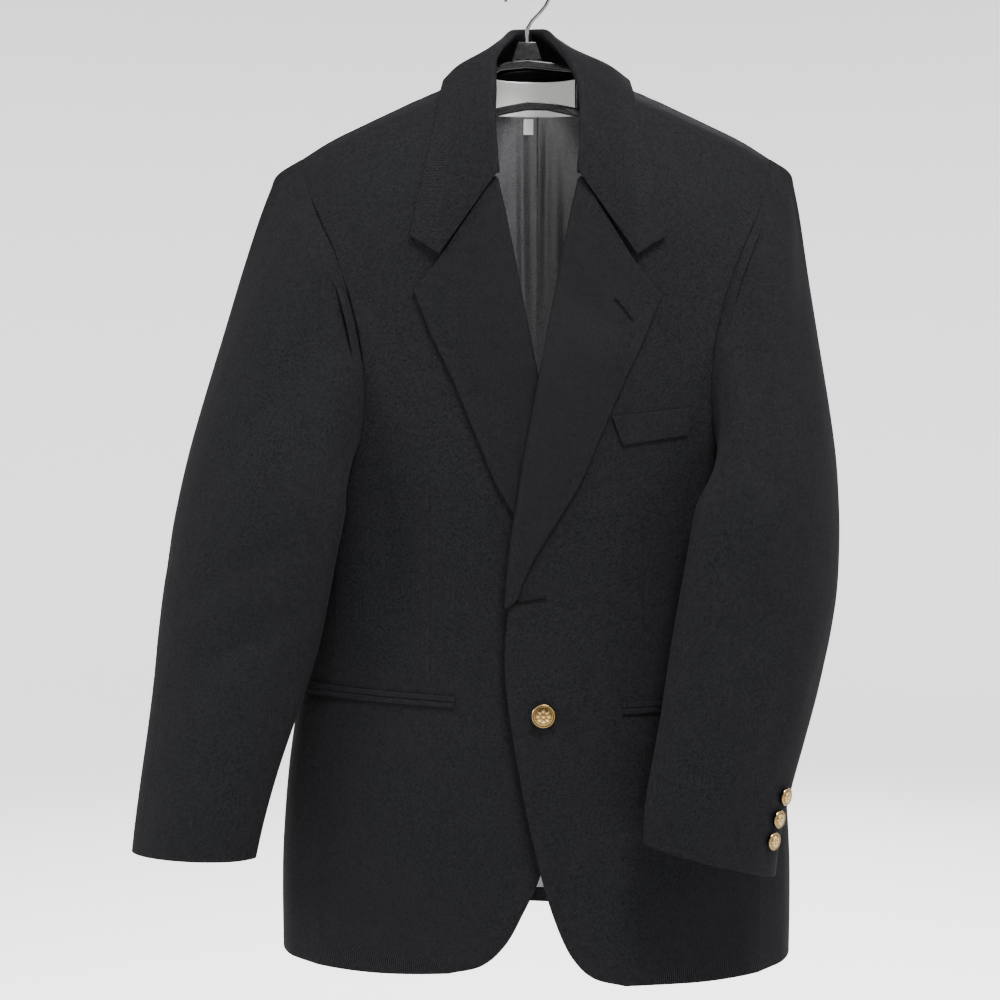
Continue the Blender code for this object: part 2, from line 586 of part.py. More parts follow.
STAND_SHARE = 0.35  # the most of the stand's height that the roll's half width takes


def collar_station(side, k):
    """The middle points of one collar section, from the leaf's edge over the fold to the neck seam."""
    at = {name: column[k] for name, column in COLLAR.items()}
    lean = COLLAR_LEAN * ease(k, *LEAN_STATIONS)
    fold = np.array([side * at["fold_across"] + lean, at["fold_y"], -at["fold_drop"]])
    leaf_behind, neck_behind = at["leaf_behind"] > 0.5, at["neck_behind"] > 0.5

    def on_body(across, drop, behind, out):
        return body_point(side * across, drop, behind, out)

    leaf = on_body(at["leaf_across"], at["leaf_drop"], leaf_behind, LEAF_OFF + CLOTH / 2)
    neck_in = on_body(at["neck_across"], at["neck_drop"], neck_behind, -CLOTH / 2)
    stand_way = unit(fold - neck_in)
    neck = neck_in + stand_way * NECK_GAP
    # A place on the leaf near the notch: the front end bends there, and the other sections ease away from it.
    bend = max(0.0, 1 - k / BEND_STATIONS)
    plain_across = at["fold_across"] + (at["leaf_across"] - at["fold_across"]) * LEAF_SHARE
    plain_drop = at["fold_drop"] + (at["leaf_drop"] - at["fold_drop"]) * LEAF_SHARE
    mid_across = plain_across + (NOTCH[0] - plain_across) * bend
    mid_drop = plain_drop + (NOTCH[1] - plain_drop) * bend
    straight = fold + (leaf - fold) * LEAF_SHARE
    out_way = unit(np.array([straight[0], straight[1] if leaf_behind else -abs(straight[1]) * 0.4, LEAF_UP]))
    if leaf_behind or k >= SHOULDER_STATION:
        near_leaf = straight + out_way * LEAF_BULGE
        on_cloth = on_body(side * near_leaf[0], -near_leaf[2], leaf_behind, LEAF_OFF + CLOTH)
        if abs(near_leaf[1]) < abs(on_cloth[1]):
            near_leaf = on_cloth
        near_fold = fold + (leaf - fold) * LEAF_SHARE / 2 + out_way * LEAF_BULGE
    else:
        near_leaf = on_body(mid_across, mid_drop, False, LEAF_OFF + CLOTH / 2 + 1.0)
        near_fold = (fold + near_leaf) / 2
        lifted = on_body(near_fold[0] * side, -near_fold[2], False, LEAF_OFF + LEAF_LIFT)
        near_fold[1] = min(near_fold[1], lifted[1])
    return fold, leaf, near_leaf, near_fold, neck, out_way


def make_collar():
    count = len(COLLAR["fold_y"])
    order = [(-1, k) for k in range(count)] + [(1, k) for k in range(count - 2, -1, -1)]
    stations = [collar_station(side, k) for side, k in order]
    folds = np.stack([s[0] for s in stations])
    along = unit(np.gradient(folds, axis=0))
    sections = []
    for (fold, leaf, near_leaf, near_fold, neck, out_way), path in zip(stations, along):
        down = unit((near_fold + neck) / 2 - fold)
        over = unit(np.cross(down, path))
        over = over * np.sign((over * (out_way + np.array([0, -0.5, 0]) * (fold[1] < -20))).sum())
        roll = np.clip(STAND_SHARE * np.linalg.norm(neck - fold), COLLAR_ROLL / 2, COLLAR_ROLL)
        heart = fold + down * roll
        rolled = [heart + over * roll, fold, heart - over * roll]
        stand_middle = (rolled[2] + neck) / 2
        sections.append([leaf, near_leaf, near_fold, *rolled, stand_middle, neck])
    middle = np.array(sections)
    outer, inner = thicken(middle, FACING)
    wall("collar", outer, inner, cloth, garment)


def surface_strip(side, corners, rows, columns, low, high, lift_of=front_out, back=False):
    """Two faces of a strip that lies on a panel: corners are (across, drop), clockwise from low inner."""
    s = np.linspace(0, 1, rows + 1)[:, None]
    t = np.linspace(0, 1, columns + 1)[None, :]
    (a, b, c, d) = np.array(corners, float)
    grid = [(a[i] * (1 - t) + b[i] * t) * (1 - s) + (d[i] * (1 - t) + c[i] * t) * s for i in (0, 1)]
    x, drop = side * grid[0], grid[1]
    lift = lift_of(side, x, drop)
    return body_point(x, drop, back, lift + high), body_point(x, drop, back, lift + low)


POCKET_INNER, POCKET_OUTER = 70.0, 196.0
POCKET_DROP = {-1: (640.0, 632.0), 1: (644.5, 641.0)}  # slit drop at its inner and outer end
JET = 4.6  # height of one jet
WELT = ((70, 424.5), (126.5, 415.5), (127, 392.5), (60.5, 400.5))
TRIM_LOW, TRIM_HIGH = 0.5, 1.9


def make_pockets():
    for side, word in ((-1, "right"), (1, "left")):
        inner_drop, outer_drop = POCKET_DROP[side]
        for part, sign in (("upper", -1), ("lower", 1)):
            near, far = sign * 0.25, sign * (0.25 + JET)
            corners = ((POCKET_INNER, inner_drop + far), (POCKET_OUTER, outer_drop + far),
                       (POCKET_OUTER, outer_drop + near), (POCKET_INNER, inner_drop + near))
            outer, inner = surface_strip(side, corners, 1, 12, TRIM_LOW, TRIM_HIGH)
            wall(f"pocket_{word}_{part}_jet", outer, inner, cloth, garment)
    outer, inner = surface_strip(1, WELT, 2, 6, TRIM_LOW, TRIM_HIGH)
    wall("breast_welt", outer, inner, cloth, garment)


PLEAT_ACROSS = 3.0  # the lining's centre pleat lies this far to the wearer's left of the back seam
LINING_OFF = 4.2  # the lining's outer face inside the back's outer face
LINING_OUTLINE = table(
    "centre_drop outer_across outer_drop",
    (836, 130, 838), (780, 130, 780), (720, 130, 720), (650, 130, 650), (580, 130, 580), (510, 130, 510),
    (440, 130, 440), (370, 130, 370), (300, 128, 310), (240, 118, 255), (190, 104, 210), (150, 88, 172),
    (115, 74, 142), (82, 58, 118),
)


def make_lining():
    for side, word in ((-1, "right"), (1, "left")):
        t = np.linspace(0, 1, 7)[None, :]
        centre = side * PLEAT_ACROSS + SEAM_HALF
        across = centre + (LINING_OUTLINE["outer_across"][:, None] - centre) * t
        drop = LINING_OUTLINE["centre_drop"][:, None] * (1 - t) + LINING_OUTLINE["outer_drop"][:, None] * t
        outer = body_point(side * across, drop, True, -LINING_OFF)
        inner = body_point(side * across, drop, True, -LINING_OFF - LINING)
        wall(f"lining_{word}", outer, inner, lining_cloth, garment)


LABEL = ((-40, 112), (40, 112), (40, 82), (-40, 82))
TAB = ((-10.5, 128), (-1, 128), (-1, 113.5), (-10.5, 113.5))
LABEL_GAP, TAB_GAP = 1.7, 0.9  # between the lining and a label's outer face
LABEL_OFF = LINING_OFF + LINING + LABEL_GAP
TAB_OFF = LINING_OFF + LINING + TAB_GAP
LABEL_THICK = 0.8


def no_lift(side, x, drop):
    return np.zeros_like(x)


def make_labels():
    for name, corners, columns, off in (
        ("neck_label", LABEL, 8, LABEL_OFF),
        ("neck_tab", TAB, 2, TAB_OFF),
    ):
        outer, inner = surface_strip(1, corners, 3, columns, -off, -off - LABEL_THICK, no_lift, True)
        wall(name, outer, inner, label_cloth, garment)


def turned(name, profile, material, parent, steps=20):
    """A turned shape: a profile of (radius, height), from the top centre down to the bottom centre."""
    mesh = bpy.data.meshes.new(name)
    verts = [(radius * MM, 0, height * MM) for radius, height in profile]
    mesh.from_pydata(verts, [(k, k + 1) for k in range(len(verts) - 1)], [])
    obj = bpy.data.objects.new(name, mesh)
    collection.objects.link(obj)
    screw = obj.modifiers.new("Turn", "SCREW")
    screw.steps = screw.render_steps = steps
    screw.use_merge_vertices = True
    screw.merge_threshold = 0.00001
    screw.use_normal_calculate = True
    mesh.materials.append(material)
    obj.parent = parent
    return obj


def stand_on(obj, place, normal):
    """Puts an object's origin at a place, with its own +Z along the normal."""
    obj.location = Vector(place * MM)
    obj.rotation_mode = "QUATERNION"
    obj.rotation_quaternion = Vector((0, 0, 1)).rotation_difference(Vector(normal))


# Button profiles: radius and height, from the top centre down to the bottom centre
FRONT_BUTTON = (
    (0, 5.0), (4.2, 4.7), (7.4, 3.9), (8.4, 3.5), (9.3, 3.9), (10.1, 3.2), (10.1, 1.8), (8.6, 0), (0, 0),
)
SLEEVE_BUTTON = ((0, 4.0), (3.4, 3.7), (5.8, 2.9), (7.0, 3.0), (7.5, 2.2), (6.6, 0), (0, 0))
FLAT_BUTTON = ((0, 2.6), (9, 2.6), (10, 1.8), (10, 0.8), (9, 0), (0, 0))
BUTTON_PLACE = (4.0, 650.0)
UPPER_BUTTON_PLACE = (0.0, 557.0)
FRONT_BUTTON_OFF, UPPER_BUTTON_OFF = 0.4, 0.5  # clear space under each
SLEEVE_BUTTON_DROPS = {1: (703, 720, 737), -1: (712, 730, 748)}
SLEEVE_BUTTON_OFF = {1: 0.9, -1: 0.1}
SLEEVE_BUTTON_TURN = {1: 18.0, -1: -24.0}


def make_buttons():
    for name, profile, (x, drop), over in (
        ("front_button", FRONT_BUTTON, BUTTON_PLACE, LAP_LIFT + FRONT_BUTTON_OFF),
        ("front_button_upper", FLAT_BUTTON, UPPER_BUTTON_PLACE, UPPER_BUTTON_OFF),
    ):
        place = body_point(x, drop, out=over)
        normal = unit(body_point(x, drop, out=over + 1) - place)
        stand_on(turned(name, profile, brass, garment), place, normal)
    for side, word, sleeve in ((-1, "right", RIGHT_SLEEVE), (1, "left", LEFT_SLEEVE)):
        for number, drop in enumerate(SLEEVE_BUTTON_DROPS[side], 1):
            turn = SLEEVE_BUTTON_TURN[side]
            place, normal = sleeve_place(sleeve, side, turn, float(drop))
            button = turned(f"sleeve_button_{word}_{number}", SLEEVE_BUTTON, brass, garment, 16)
            stand_on(button, place + normal * SLEEVE_BUTTON_OFF[side], normal)


def sleeve_place(sleeve, side, turn, drop):
    """A point on the arm's outer face and its normal, in the garment's frame."""
    place = sleeve_section(sleeve, turn, drop)
    around = sleeve_section(sleeve, turn + 1, drop) - sleeve_section(sleeve, turn - 1, drop)
    down = sleeve_section(sleeve, turn, drop + 1) - sleeve_section(sleeve, turn, drop - 1)
    normal = unit(np.cross(around, down))
    middle = (sleeve_section(sleeve, 0, drop) + sleeve_section(sleeve, 180, drop)) / 2
    normal = normal * np.sign((normal * (place - middle)).sum())
    flip = np.array([side, 1, 1])
    return place * flip, normal * flip


# Hanger
HANGER_THICK = 7.0
HANGER_TOP = 80.0  # drop of the bar's top at the neck
HANGER_REACH = (-200.0, 184.0)  # the arms' ends from the garment's centre line
HANGER_CLEAR = 6.2  # the arms' top edge below the shoulder ridge
HANGER_STEPS = 23
BAR_SLOPE = 0.10  # the bar's top falls this much for each millimetre from the hook
COLLAR_LINE = (30.0, 75.0, 0.557)  # across, drop and slope of the line that the arms keep under the collar
ARM_DEPTH, TIP_DEPTH = 9.0, 6.0  # an arm's depth near its end, and at its very tip
ARM_LENGTH = 206.0  # over which the arm's depth doubles towards the hook
ARCH_REACH = 95.0
ARCH_DROP, ARCH_SLOPE = 50.0, 0.02  # the lower rail below the bar's top, and its fall
ARCH_RISE, ARCH_HALF = 7.0, 40.0
WINDOW_REACH, WINDOW_STEPS = (-52.0, 36.0), 9
BAR_HEIGHT, RAIL_HEIGHT, WINDOW_LEAST = 5.5, 6.5, 3.0
MARKER_TOP, MARKER_BOTTOM = (8.0, -64.0), (13.0, -79.4)  # half width and height
MARKER_THICK = 7.0
HOOK_WIRE = 1.6
HOOK_INSIDE = 19.0
BORE_CLEAR = 0.35
BORE_PLACE, BORE_LENGTH = -0.07, 0.06  # metres


def flat_outline(name, loops, thickness, material, parent):
    """A flat piece in the XZ plane: closed outlines of (x, z) in millimetres, the first one outside."""
    curve = bpy.data.curves.new(name, "CURVE")
    curve.dimensions = "2D"
    curve.fill_mode = "BOTH"
    curve.extrude = thickness / 2 * MM
    for loop in loops:
        spline = curve.splines.new("POLY")
        spline.points.add(len(loop) - 1)
        for point, (x, z) in zip(spline.points, loop):
            point.co = (x * MM, z * MM, 0, 1)
        spline.use_cyclic_u = True
    obj = bpy.data.objects.new(name, curve)
    obj.rotation_euler = (math.pi / 2, 0, 0)
    collection.objects.link(obj)
    curve.materials.append(material)
    obj.parent = parent
    return obj


def arm_top(x):
    """Drop of the hanger's top edge, in the garment's coordinates."""
    centre = -GARMENT_X
    under_cloth = smooth(np.abs(x), RIDGE["across"], RIDGE["drop"]) + HANGER_CLEAR
    bar = HANGER_TOP + BAR_SLOPE * np.abs(x - centre)
    line_across, line_drop, line_slope = COLLAR_LINE
    under_collar = line_drop + (np.abs(x) - line_across) * line_slope + HANGER_CLEAR
    return np.where(np.abs(x) > NECKLINE["across"][-1], under_cloth, np.maximum(bar, under_collar))


def make_hanger():
    left, right = HANGER_REACH
    xs = np.linspace(left, right, HANGER_STEPS)
    top = arm_top(xs)
    depth = ARM_DEPTH * (2 - np.abs(xs) / ARM_LENGTH)
    rise = ARCH_RISE * np.cos(np.clip(xs / ARCH_HALF, -1, 1) * math.pi / 2)
    arch = HANGER_TOP + ARCH_DROP + ARCH_SLOPE * np.abs(xs) - rise
    bottom = np.where(np.abs(xs) < ARCH_REACH, np.maximum(arch, top + depth), top + depth)
    bottom[0] = top[0] + TIP_DEPTH
    bottom[-1] = top[-1] + TIP_DEPTH
    outline = [(x, -d) for x, d in zip(xs, top)] + [(x, -d) for x, d in zip(xs[::-1], bottom[::-1])]
    window_x = np.linspace(*WINDOW_REACH, WINDOW_STEPS)
    window_top = arm_top(window_x) + BAR_HEIGHT
    window_low = np.interp(window_x, xs, bottom) - RAIL_HEIGHT
    window_low = np.maximum(window_low, window_top + WINDOW_LEAST)
    window = [(x, -d) for x, d in zip(window_x, window_top)]
    window += [(x, -d) for x, d in zip(window_x[::-1], window_low[::-1])]
    flat_outline("hanger_body", (outline, window), HANGER_THICK, plastic, garment)
    (top_half, top_z), (low_half, low_z) = MARKER_TOP, MARKER_BOTTOM
    corners = ((-top_half, top_z), (top_half, top_z), (low_half, low_z), (-low_half, low_z))
    trapezoid = [(x - GARMENT_X, z) for x, z in corners]
    marker = flat_outline("hanger_marker_curve", (trapezoid,), MARKER_THICK, plastic, garment)
    marker = meshed(marker, "hanger_marker")
    bpy.ops.mesh.primitive_cylinder_add(vertices=12, radius=(HOOK_WIRE + BORE_CLEAR) * MM, depth=BORE_LENGTH)
    cutter = bpy.context.object
    cutter.name = "marker_bore"
    cutter.location = (0, 0, BORE_PLACE)
    cutter.hide_render = True
    cutter.display_type = "WIRE"
    for owner in list(cutter.users_collection):
        owner.objects.unlink(cutter)
    cutters.objects.link(cutter)
    cut = marker.modifiers.new("Bore", "BOOLEAN")
    cut.operation = "DIFFERENCE"
    cut.object = cutter
    make_hook()


def meshed(curve_object, name):
    """A mesh object in place of a curve, with its caps welded."""
    bpy.context.view_layer.update()
    graph = bpy.context.evaluated_depsgraph_get()
    mesh = bpy.data.meshes.new_from_object(curve_object.evaluated_get(graph))
    cage = bmesh.new()
    cage.from_mesh(mesh)
    bmesh.ops.remove_doubles(cage, verts=cage.verts, dist=1e-6)
    bmesh.ops.recalc_face_normals(cage, faces=cage.faces)
    cage.to_mesh(mesh)
    cage.free()
    mesh.name = name
    obj = bpy.data.objects.new(name, mesh)
    collection.objects.link(obj)
    obj.matrix_world = curve_object.matrix_world
    bpy.data.objects.remove(curve_object)
    return obj


def make_hook():
    """The hook's wire: straight up through the marker, then round over the rod."""
    radius = HOOK_INSIDE + HOOK_WIRE
    centre_z = -HOOK_INSIDE
    points = [(0, z) for z in (-79.5, -70, -60, -52)]
    points += [(4.5, -44.5), (12, -37)]
    for angle in np.radians(np.arange(-35, 206, 20)):
        points.append((radius * math.cos(angle), centre_z + radius * math.sin(angle)))
    curve = bpy.data.curves.new("hanger_hook", "CURVE")
    curve.dimensions = "3D"
    curve.bevel_depth = HOOK_WIRE * MM
    curve.bevel_resolution = 2
    curve.use_fill_caps = True
    spline = curve.splines.new("POLY")
    spline.points.add(len(points) - 1)
    for point, (x, z) in zip(spline.points, points):
        point.co = (x * MM, 0, z * MM, 1)
    obj = bpy.data.objects.new("hanger_hook", curve)
    collection.objects.link(obj)
    curve.materials.append(chrome)


for old in list(bpy.data.objects):
    bpy.data.objects.remove(old)
collection = bpy.data.collections.new("blazer_on_hanger")
cutters = bpy.data.collections.new("cutters")
for made in (collection, cutters):
    bpy.context.scene.collection.children.link(made)
garment = bpy.data.objects.new("garment_axis", None)
garment.location = (GARMENT_X * MM, 0, 0)
collection.objects.link(garment)

cloth = finish_material("navy wool twill", (0.012, 0.015, 0.028), 0.8)
lining_cloth = finish_material("grey blue satin", (0.045, 0.052, 0.07), 0.4)
label_cloth = finish_material("pale woven label", (0.7, 0.7, 0.7), 0.7)
brass = finish_material("gilt brass", (0.6, 0.43, 0.18), 0.28, 1.0)
plastic = finish_material("black plastic", (0.012, 0.012, 0.012), 0.25)
chrome = finish_material("chromed wire", (0.75, 0.75, 0.76), 0.15, 1.0)

for side, word, edge, hem in (
    (-1, "right", RIGHT_EDGE, RIGHT_HEM_DROP),
    (1, "left", LEFT_EDGE, LEFT_HEM_DROP),
):
    front_faces = make_front(f"front_{word}", side, edge, hem)
    side_faces = make_side(f"side_{word}", side, hem)
    back_faces = make_back(f"back_{word}", side)
    armhole = armhole_ring(side, front_faces, side_faces, back_faces)
    make_sleeve(word, side, RIGHT_SLEEVE if side < 0 else LEFT_SLEEVE, armhole)
    make_lapel(f"lapel_{word}", side, edge)
make_collar()
make_pockets()
make_lining()
make_labels()
make_buttons()
make_hanger()
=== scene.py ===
# %% [markdown]
# A navy blazer on its hanger. The blazer is sewn from flat pieces of wool: fronts, backs, side panels,
# two-piece sleeves, lapels and a collar. Each piece here is a thin closed shell, worked out as a grid of
# points with numpy on the same curves as its solid, then given its folds, its rounded edges and its cloth.
# A cloth simulation could drape it, but a tailored jacket keeps the shape that pressing gave it, so the
# folds are given one by one instead. Lengths are in millimetres until a mesh is made.

# %% Load the frame
import math

import bmesh
import bpy
import numpy as np
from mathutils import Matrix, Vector


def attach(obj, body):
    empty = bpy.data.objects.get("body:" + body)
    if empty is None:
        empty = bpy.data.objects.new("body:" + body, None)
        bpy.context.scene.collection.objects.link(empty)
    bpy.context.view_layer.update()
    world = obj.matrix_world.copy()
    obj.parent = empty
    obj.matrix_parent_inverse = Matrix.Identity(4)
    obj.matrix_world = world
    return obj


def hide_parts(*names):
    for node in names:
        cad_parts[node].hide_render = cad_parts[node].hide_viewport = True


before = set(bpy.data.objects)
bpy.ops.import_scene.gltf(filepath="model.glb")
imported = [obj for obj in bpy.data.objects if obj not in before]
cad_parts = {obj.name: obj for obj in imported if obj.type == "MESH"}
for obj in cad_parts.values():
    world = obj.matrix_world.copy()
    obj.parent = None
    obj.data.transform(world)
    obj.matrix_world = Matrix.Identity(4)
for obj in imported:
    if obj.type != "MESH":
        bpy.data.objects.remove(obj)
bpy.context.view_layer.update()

# %% [markdown]
# The camera stands level, a little to the wearer's right of the hook, as in the photograph. Its place was
# found from the garment's own sizes: a 60 mm lens about 1.5 m away.

# %% Camera
def new_object(name, data):
    """A new object, linked into the scene."""
    obj = bpy.data.objects.new(name, data)
    bpy.context.scene.collection.objects.link(obj)
    return obj


camera = new_object("camera", bpy.data.cameras.new("camera"))
camera.data.lens = 60
camera.data.sensor_width = 36
camera.location = (-0.024, -1.480, -0.470)
camera.rotation_euler = (math.pi / 2, 0, 0)
bpy.context.scene.camera = camera

# %% [markdown]
# Tables hold a section or a fold in each row. A smooth curve is read through a table's columns, so a few
# rows are enough for a long outline.

# %% Tables and curves
MM = 0.001
CLOTH = 2.0  # thickness of a shell cloth wall
LINING = 1.0
SEAM_HALF = -0.15  # half the gap at a seam: below zero, so the edges overlap and no light comes through
SIDES = ((-1, "right"), (1, "left"))  # the wearer's sides, by the sign of x
GARMENT_X = 8.0  # the garment's centre line from the hook, because it hangs a little off centre
BODY_POWER = 2.4  # exponent of the superellipse that the body's sections follow
SHOULDER_ROUND = 150.0  # the body closes to the shoulder ridge over this drop
FRONT_SEAM_ANGLE = math.radians(35)
BACK_SEAM_ANGLE = math.radians(40)
SEAM_RADIUS = 170.0  # the body's radius near its side seams, which turns a gap into an angle


def table(names, *rows):
    """Named columns from rows of numbers."""
    return {name: np.array(column, float) for name, column in zip(names.split(), zip(*rows))}


def smooth(at, xs, ys):
    """A smooth curve through (xs, ys), read at the given places: cubic Hermite, held flat past the ends."""
    at = np.asarray(at, float)
    slopes = np.gradient(ys, xs)
    i = np.clip(np.searchsorted(xs, at) - 1, 0, len(xs) - 2)
    step = xs[i + 1] - xs[i]
    t = np.clip((at - xs[i]) / step, 0, 1)
    start = (2 * t**3 - 3 * t**2 + 1) * ys[i] + (t**3 - 2 * t**2 + t) * step * slopes[i]
    return start + (3 * t**2 - 2 * t**3) * ys[i + 1] + (t**3 - t**2) * step * slopes[i + 1]


def ease(x, low, high):
    """0 below low, 1 above high, and a soft step between."""
    t = np.clip((np.asarray(x, float) - low) / (high - low), 0, 1)
    return t * t * (3 - 2 * t)


def unit(v):
    return v / np.maximum(np.linalg.norm(v, axis=-1, keepdims=True), 1e-9)


def turned_to(v, way, axis=-1):
    """Vectors turned over where they point against a way."""
    return v * np.sign((v * way).sum(axis, keepdims=True))


def mirrored(points, side):
    """Points given for the wearer's left side, on the side that is asked for."""
    return points * np.array([side, 1, 1])


# %% [markdown]
# The body of a jacket is close to a superellipse in plan: flatter at the front and back than an ellipse.
# Over the shoulders it closes to a ridge, where the front and back meet.

# %% The body's form
# Body sections: half width and the depth of front and back from the hanger's plane
BODY = table(
    "drop width front back",
    (40, 215, 60, 95),
    (101, 215, 66, 92),
    (150, 215, 74, 90),
    (200, 215, 80, 92),
    (300, 215, 85, 96),
    (380, 214, 87, 98),
    (450, 210, 86, 97),
    (500, 205, 84, 95),
    (560, 202, 82, 92),
    (620, 207, 83, 94),
    (690, 217, 85, 98),
    (760, 223, 86, 101),
    (900, 223, 87, 103),
)
RIDGE = table(
    "across drop",
    (-20, 53), (0, 50), (20, 53), (40, 64), (60, 83), (77, 100),
    (112, 117.5), (150, 135.5), (186, 153.5), (208, 167.5), (230, 181),
)
# Where the wearer's left front lies over the right one, it is lifted by this much
LAP_LIFT = 8.0
LAP_ACROSS = (42.0, 120.0)
LAP_DROP = (300.0, 358.0)
VENT_TOP = 640.0
VENT_LAP = 35.0
VENT_LIFT = 3.4
VENT_RISE = (580.0, 615.0)  # the lap is lifted from nothing to full over these drops
VENT_ACROSS = (8.0, 45.0)


def body(column, drop):
    """One measure of the body's section at a drop."""
    return smooth(drop, BODY["drop"], BODY[column])


def body_depth(drop, ahead):
    """The depth of the body's front where ahead is true, and of its back elsewhere."""
    return np.where(ahead, body("front", drop), body("back", drop))


def section_depth(across, drop, back):
    """How far the body's outer face lies from the hanger's plane."""
    across = np.abs(across)
    depth = body("back" if back else "front", drop)
    round_part = np.maximum(1 - (across / body("width", drop)) ** BODY_POWER, 0) ** (1 / BODY_POWER)
    below = np.maximum(drop - smooth(across, RIDGE["across"], RIDGE["drop"]), 1e-4)
    closing = np.sqrt(1 - np.maximum(1 - below / SHOULDER_ROUND, 0) ** 2)
    return depth * round_part * closing


def body_point(x, drop, back=False, out=0.0):
    """A point on the body's face, moved out along its normal. x runs to the wearer's left."""
    x, drop = np.broadcast_arrays(np.asarray(x, float), np.asarray(drop, float))
    step = 0.05
    depth = section_depth(x, drop, back)
    by_x = (section_depth(x + step, drop, back) - section_depth(x - step, drop, back)) / (2 * step)
    by_drop = (section_depth(x, drop + step, back) - section_depth(x, drop - step, back)) / (2 * step)
    facing = 1.0 if back else -1.0
    normal = unit(np.stack([-by_x, np.full_like(x, facing), by_drop], -1))
    place = np.stack([x, facing * depth, -drop], -1) + normal * np.asarray(out, float)[..., None]
    place[..., 1] = facing * np.maximum(facing * place[..., 1], SEAM_HALF)
    return place


def side_point(angle, drop, side, out=0.0):
    """A point on the body's side, by its angle from the side towards the front."""
    def place(a, d):
        x = body("width", d) * np.cos(a) ** (2 / BODY_POWER)
        y = -body_depth(d, a > 0) * np.sign(a) * np.abs(np.sin(a)) ** (2 / BODY_POWER)
        return np.stack([side * x, y, -d + 0 * x], -1)

    angle, drop = np.broadcast_arrays(np.asarray(angle, float), np.asarray(drop, float))
    around = place(angle + 0.01, drop) - place(angle - 0.01, drop)
    down = place(angle, drop + 0.5) - place(angle, drop - 0.5)
    normal = turned_to(unit(np.cross(around, down)), place(angle, drop))
    return place(angle, drop) + normal * out


def two_faces(x, drop, lift, high=0.0, low=-CLOTH, back=False):
    """A shell's outer and inner points, this far out from the body's lifted face."""
    return body_point(x, drop, back, lift + high), body_point(x, drop, back, lift + low)


# %% [markdown]
# A material in Blender is a tree of nodes. One small helper adds a node, sets it and links it. Colours are
# picked as sRGB hex values, which the shader needs as linear light.

# %% Node helpers
def linear(code):
    """An sRGB hex colour as linear light: the standard curve, channel by channel."""
    channels = [int(code[k:k + 2], 16) / 255 for k in (1, 3, 5)]
    return [c / 12.92 if c <= 0.04045 else ((c + 0.055) / 1.055) ** 2.4 for c in channels] + [1.0]


def add(material, kind, inputs=None, **settings):
    """Adds a node; inputs maps a socket's name or number to a value or to another node's output."""
    tree = material.node_tree
    node = tree.nodes.new(kind)
    for key, value in settings.items():
        setattr(node, key, value)
    for key, value in (inputs or {}).items():
        if isinstance(value, bpy.types.NodeSocket):
            tree.links.new(value, node.inputs[key])
        else:
            node.inputs[key].default_value = value
    return node


def begin(name, **sockets):
    """A new material and its shader, with values that are the same all over set on the shader's sockets."""
    material = bpy.data.materials.new(name)
    material.use_nodes = True
    shader = material.node_tree.nodes["Principled BSDF"]
    for key, value in sockets.items():
        shader.inputs[key.replace("_", " ")].default_value = value
    return material, shader


def connect(material, output, shader, socket):
    material.node_tree.links.new(output, shader.inputs[socket])


def finish_surface(material, shader, factor, colours, span, height, strength, depth):
    """Two colours over a span of one pattern, and a relief in metres from another."""
    ramp = add(material, "ShaderNodeValToRGB", {0: factor})
    for stop, place, code in zip(ramp.color_ramp.elements, span, colours):
        stop.position = place
        stop.color = linear(code)
    connect(material, ramp.outputs[0], shader, "Base Color")
    bump = add(material, "ShaderNodeBump", {"Strength": strength, "Distance": depth, "Height": height})
    connect(material, bump.outputs[0], shader, "Normal")


# %% [markdown]
# Woven cloth, such as wool twill, shows fine diagonal ribs where each thread passes over two others. The
# ribs follow the cloth itself, so they read the piece's UV map, which holds real lengths in metres. The
# fibres and patches over them read the place on the piece instead, because the map is stretched where
# cloth is curved, and a stretched speckle shows. Wool scatters light between its fibre ends, so it is
# rough and has hardly any shine.

# %% Cloth materials
WAVE_SPACING = 0.314  # a wave texture with a scale of 1 gives a rib each 0.314 units


def woven_cloth(name, dark, light, rib, tilt, depth, mottle, **sockets):
    """Ribs of a real spacing in metres, tilted on the cloth, with fibres and patches over them."""
    material, shader = begin(name, **sockets)
    cloth_place = add(material, "ShaderNodeUVMap", uv_map="cloth").outputs[0]
    turned_place = add(material, "ShaderNodeMapping",
                       {0: cloth_place, "Rotation": (0, 0, math.radians(tilt))}).outputs[0]
    ribs = add(material, "ShaderNodeTexWave", {0: turned_place, "Scale": WAVE_SPACING / rib,
                                               "Distortion": 1.2, "Detail": 1.0, "Detail Scale": 3.0})
    place = add(material, "ShaderNodeTexCoord").outputs["Object"]
    fibres = add(material, "ShaderNodeTexNoise", {0: place, "Scale": 0.9 / rib, "Detail": 3.0})
    patches = add(material, "ShaderNodeTexNoise", {0: place, "Scale": 0.45 / rib, "Detail": 6.0})
    grain = add(material, "ShaderNodeMath", {0: ribs.outputs["Fac"], 1: fibres.outputs["Fac"]},
                operation="MULTIPLY").outputs[0]
    mixed = add(material, "ShaderNodeMath", {0: patches.outputs["Fac"], 1: mottle, 2: grain},
                operation="MULTIPLY_ADD").outputs[0]
    finish_surface(material, shader, mixed, (dark, light), (0.25, 0.85), grain, 0.6, depth)
    return material


# Wool worsted, woven as a twill and pressed: matt, dark and finely ribbed. Its true rib is about 0.6 mm,
# drawn at 1.1 mm so that it shows.
wool = woven_cloth("navy worsted wool twill, woven and pressed", "#020202", "#171719", 0.0011, 55,
                   0.0003, 0.6, Roughness=0.8, Sheen_Weight=0.01, Sheen_Roughness=0.35,
                   Sheen_Tint=linear("#B4B2BC"), Specular_IOR_Level=0.03)
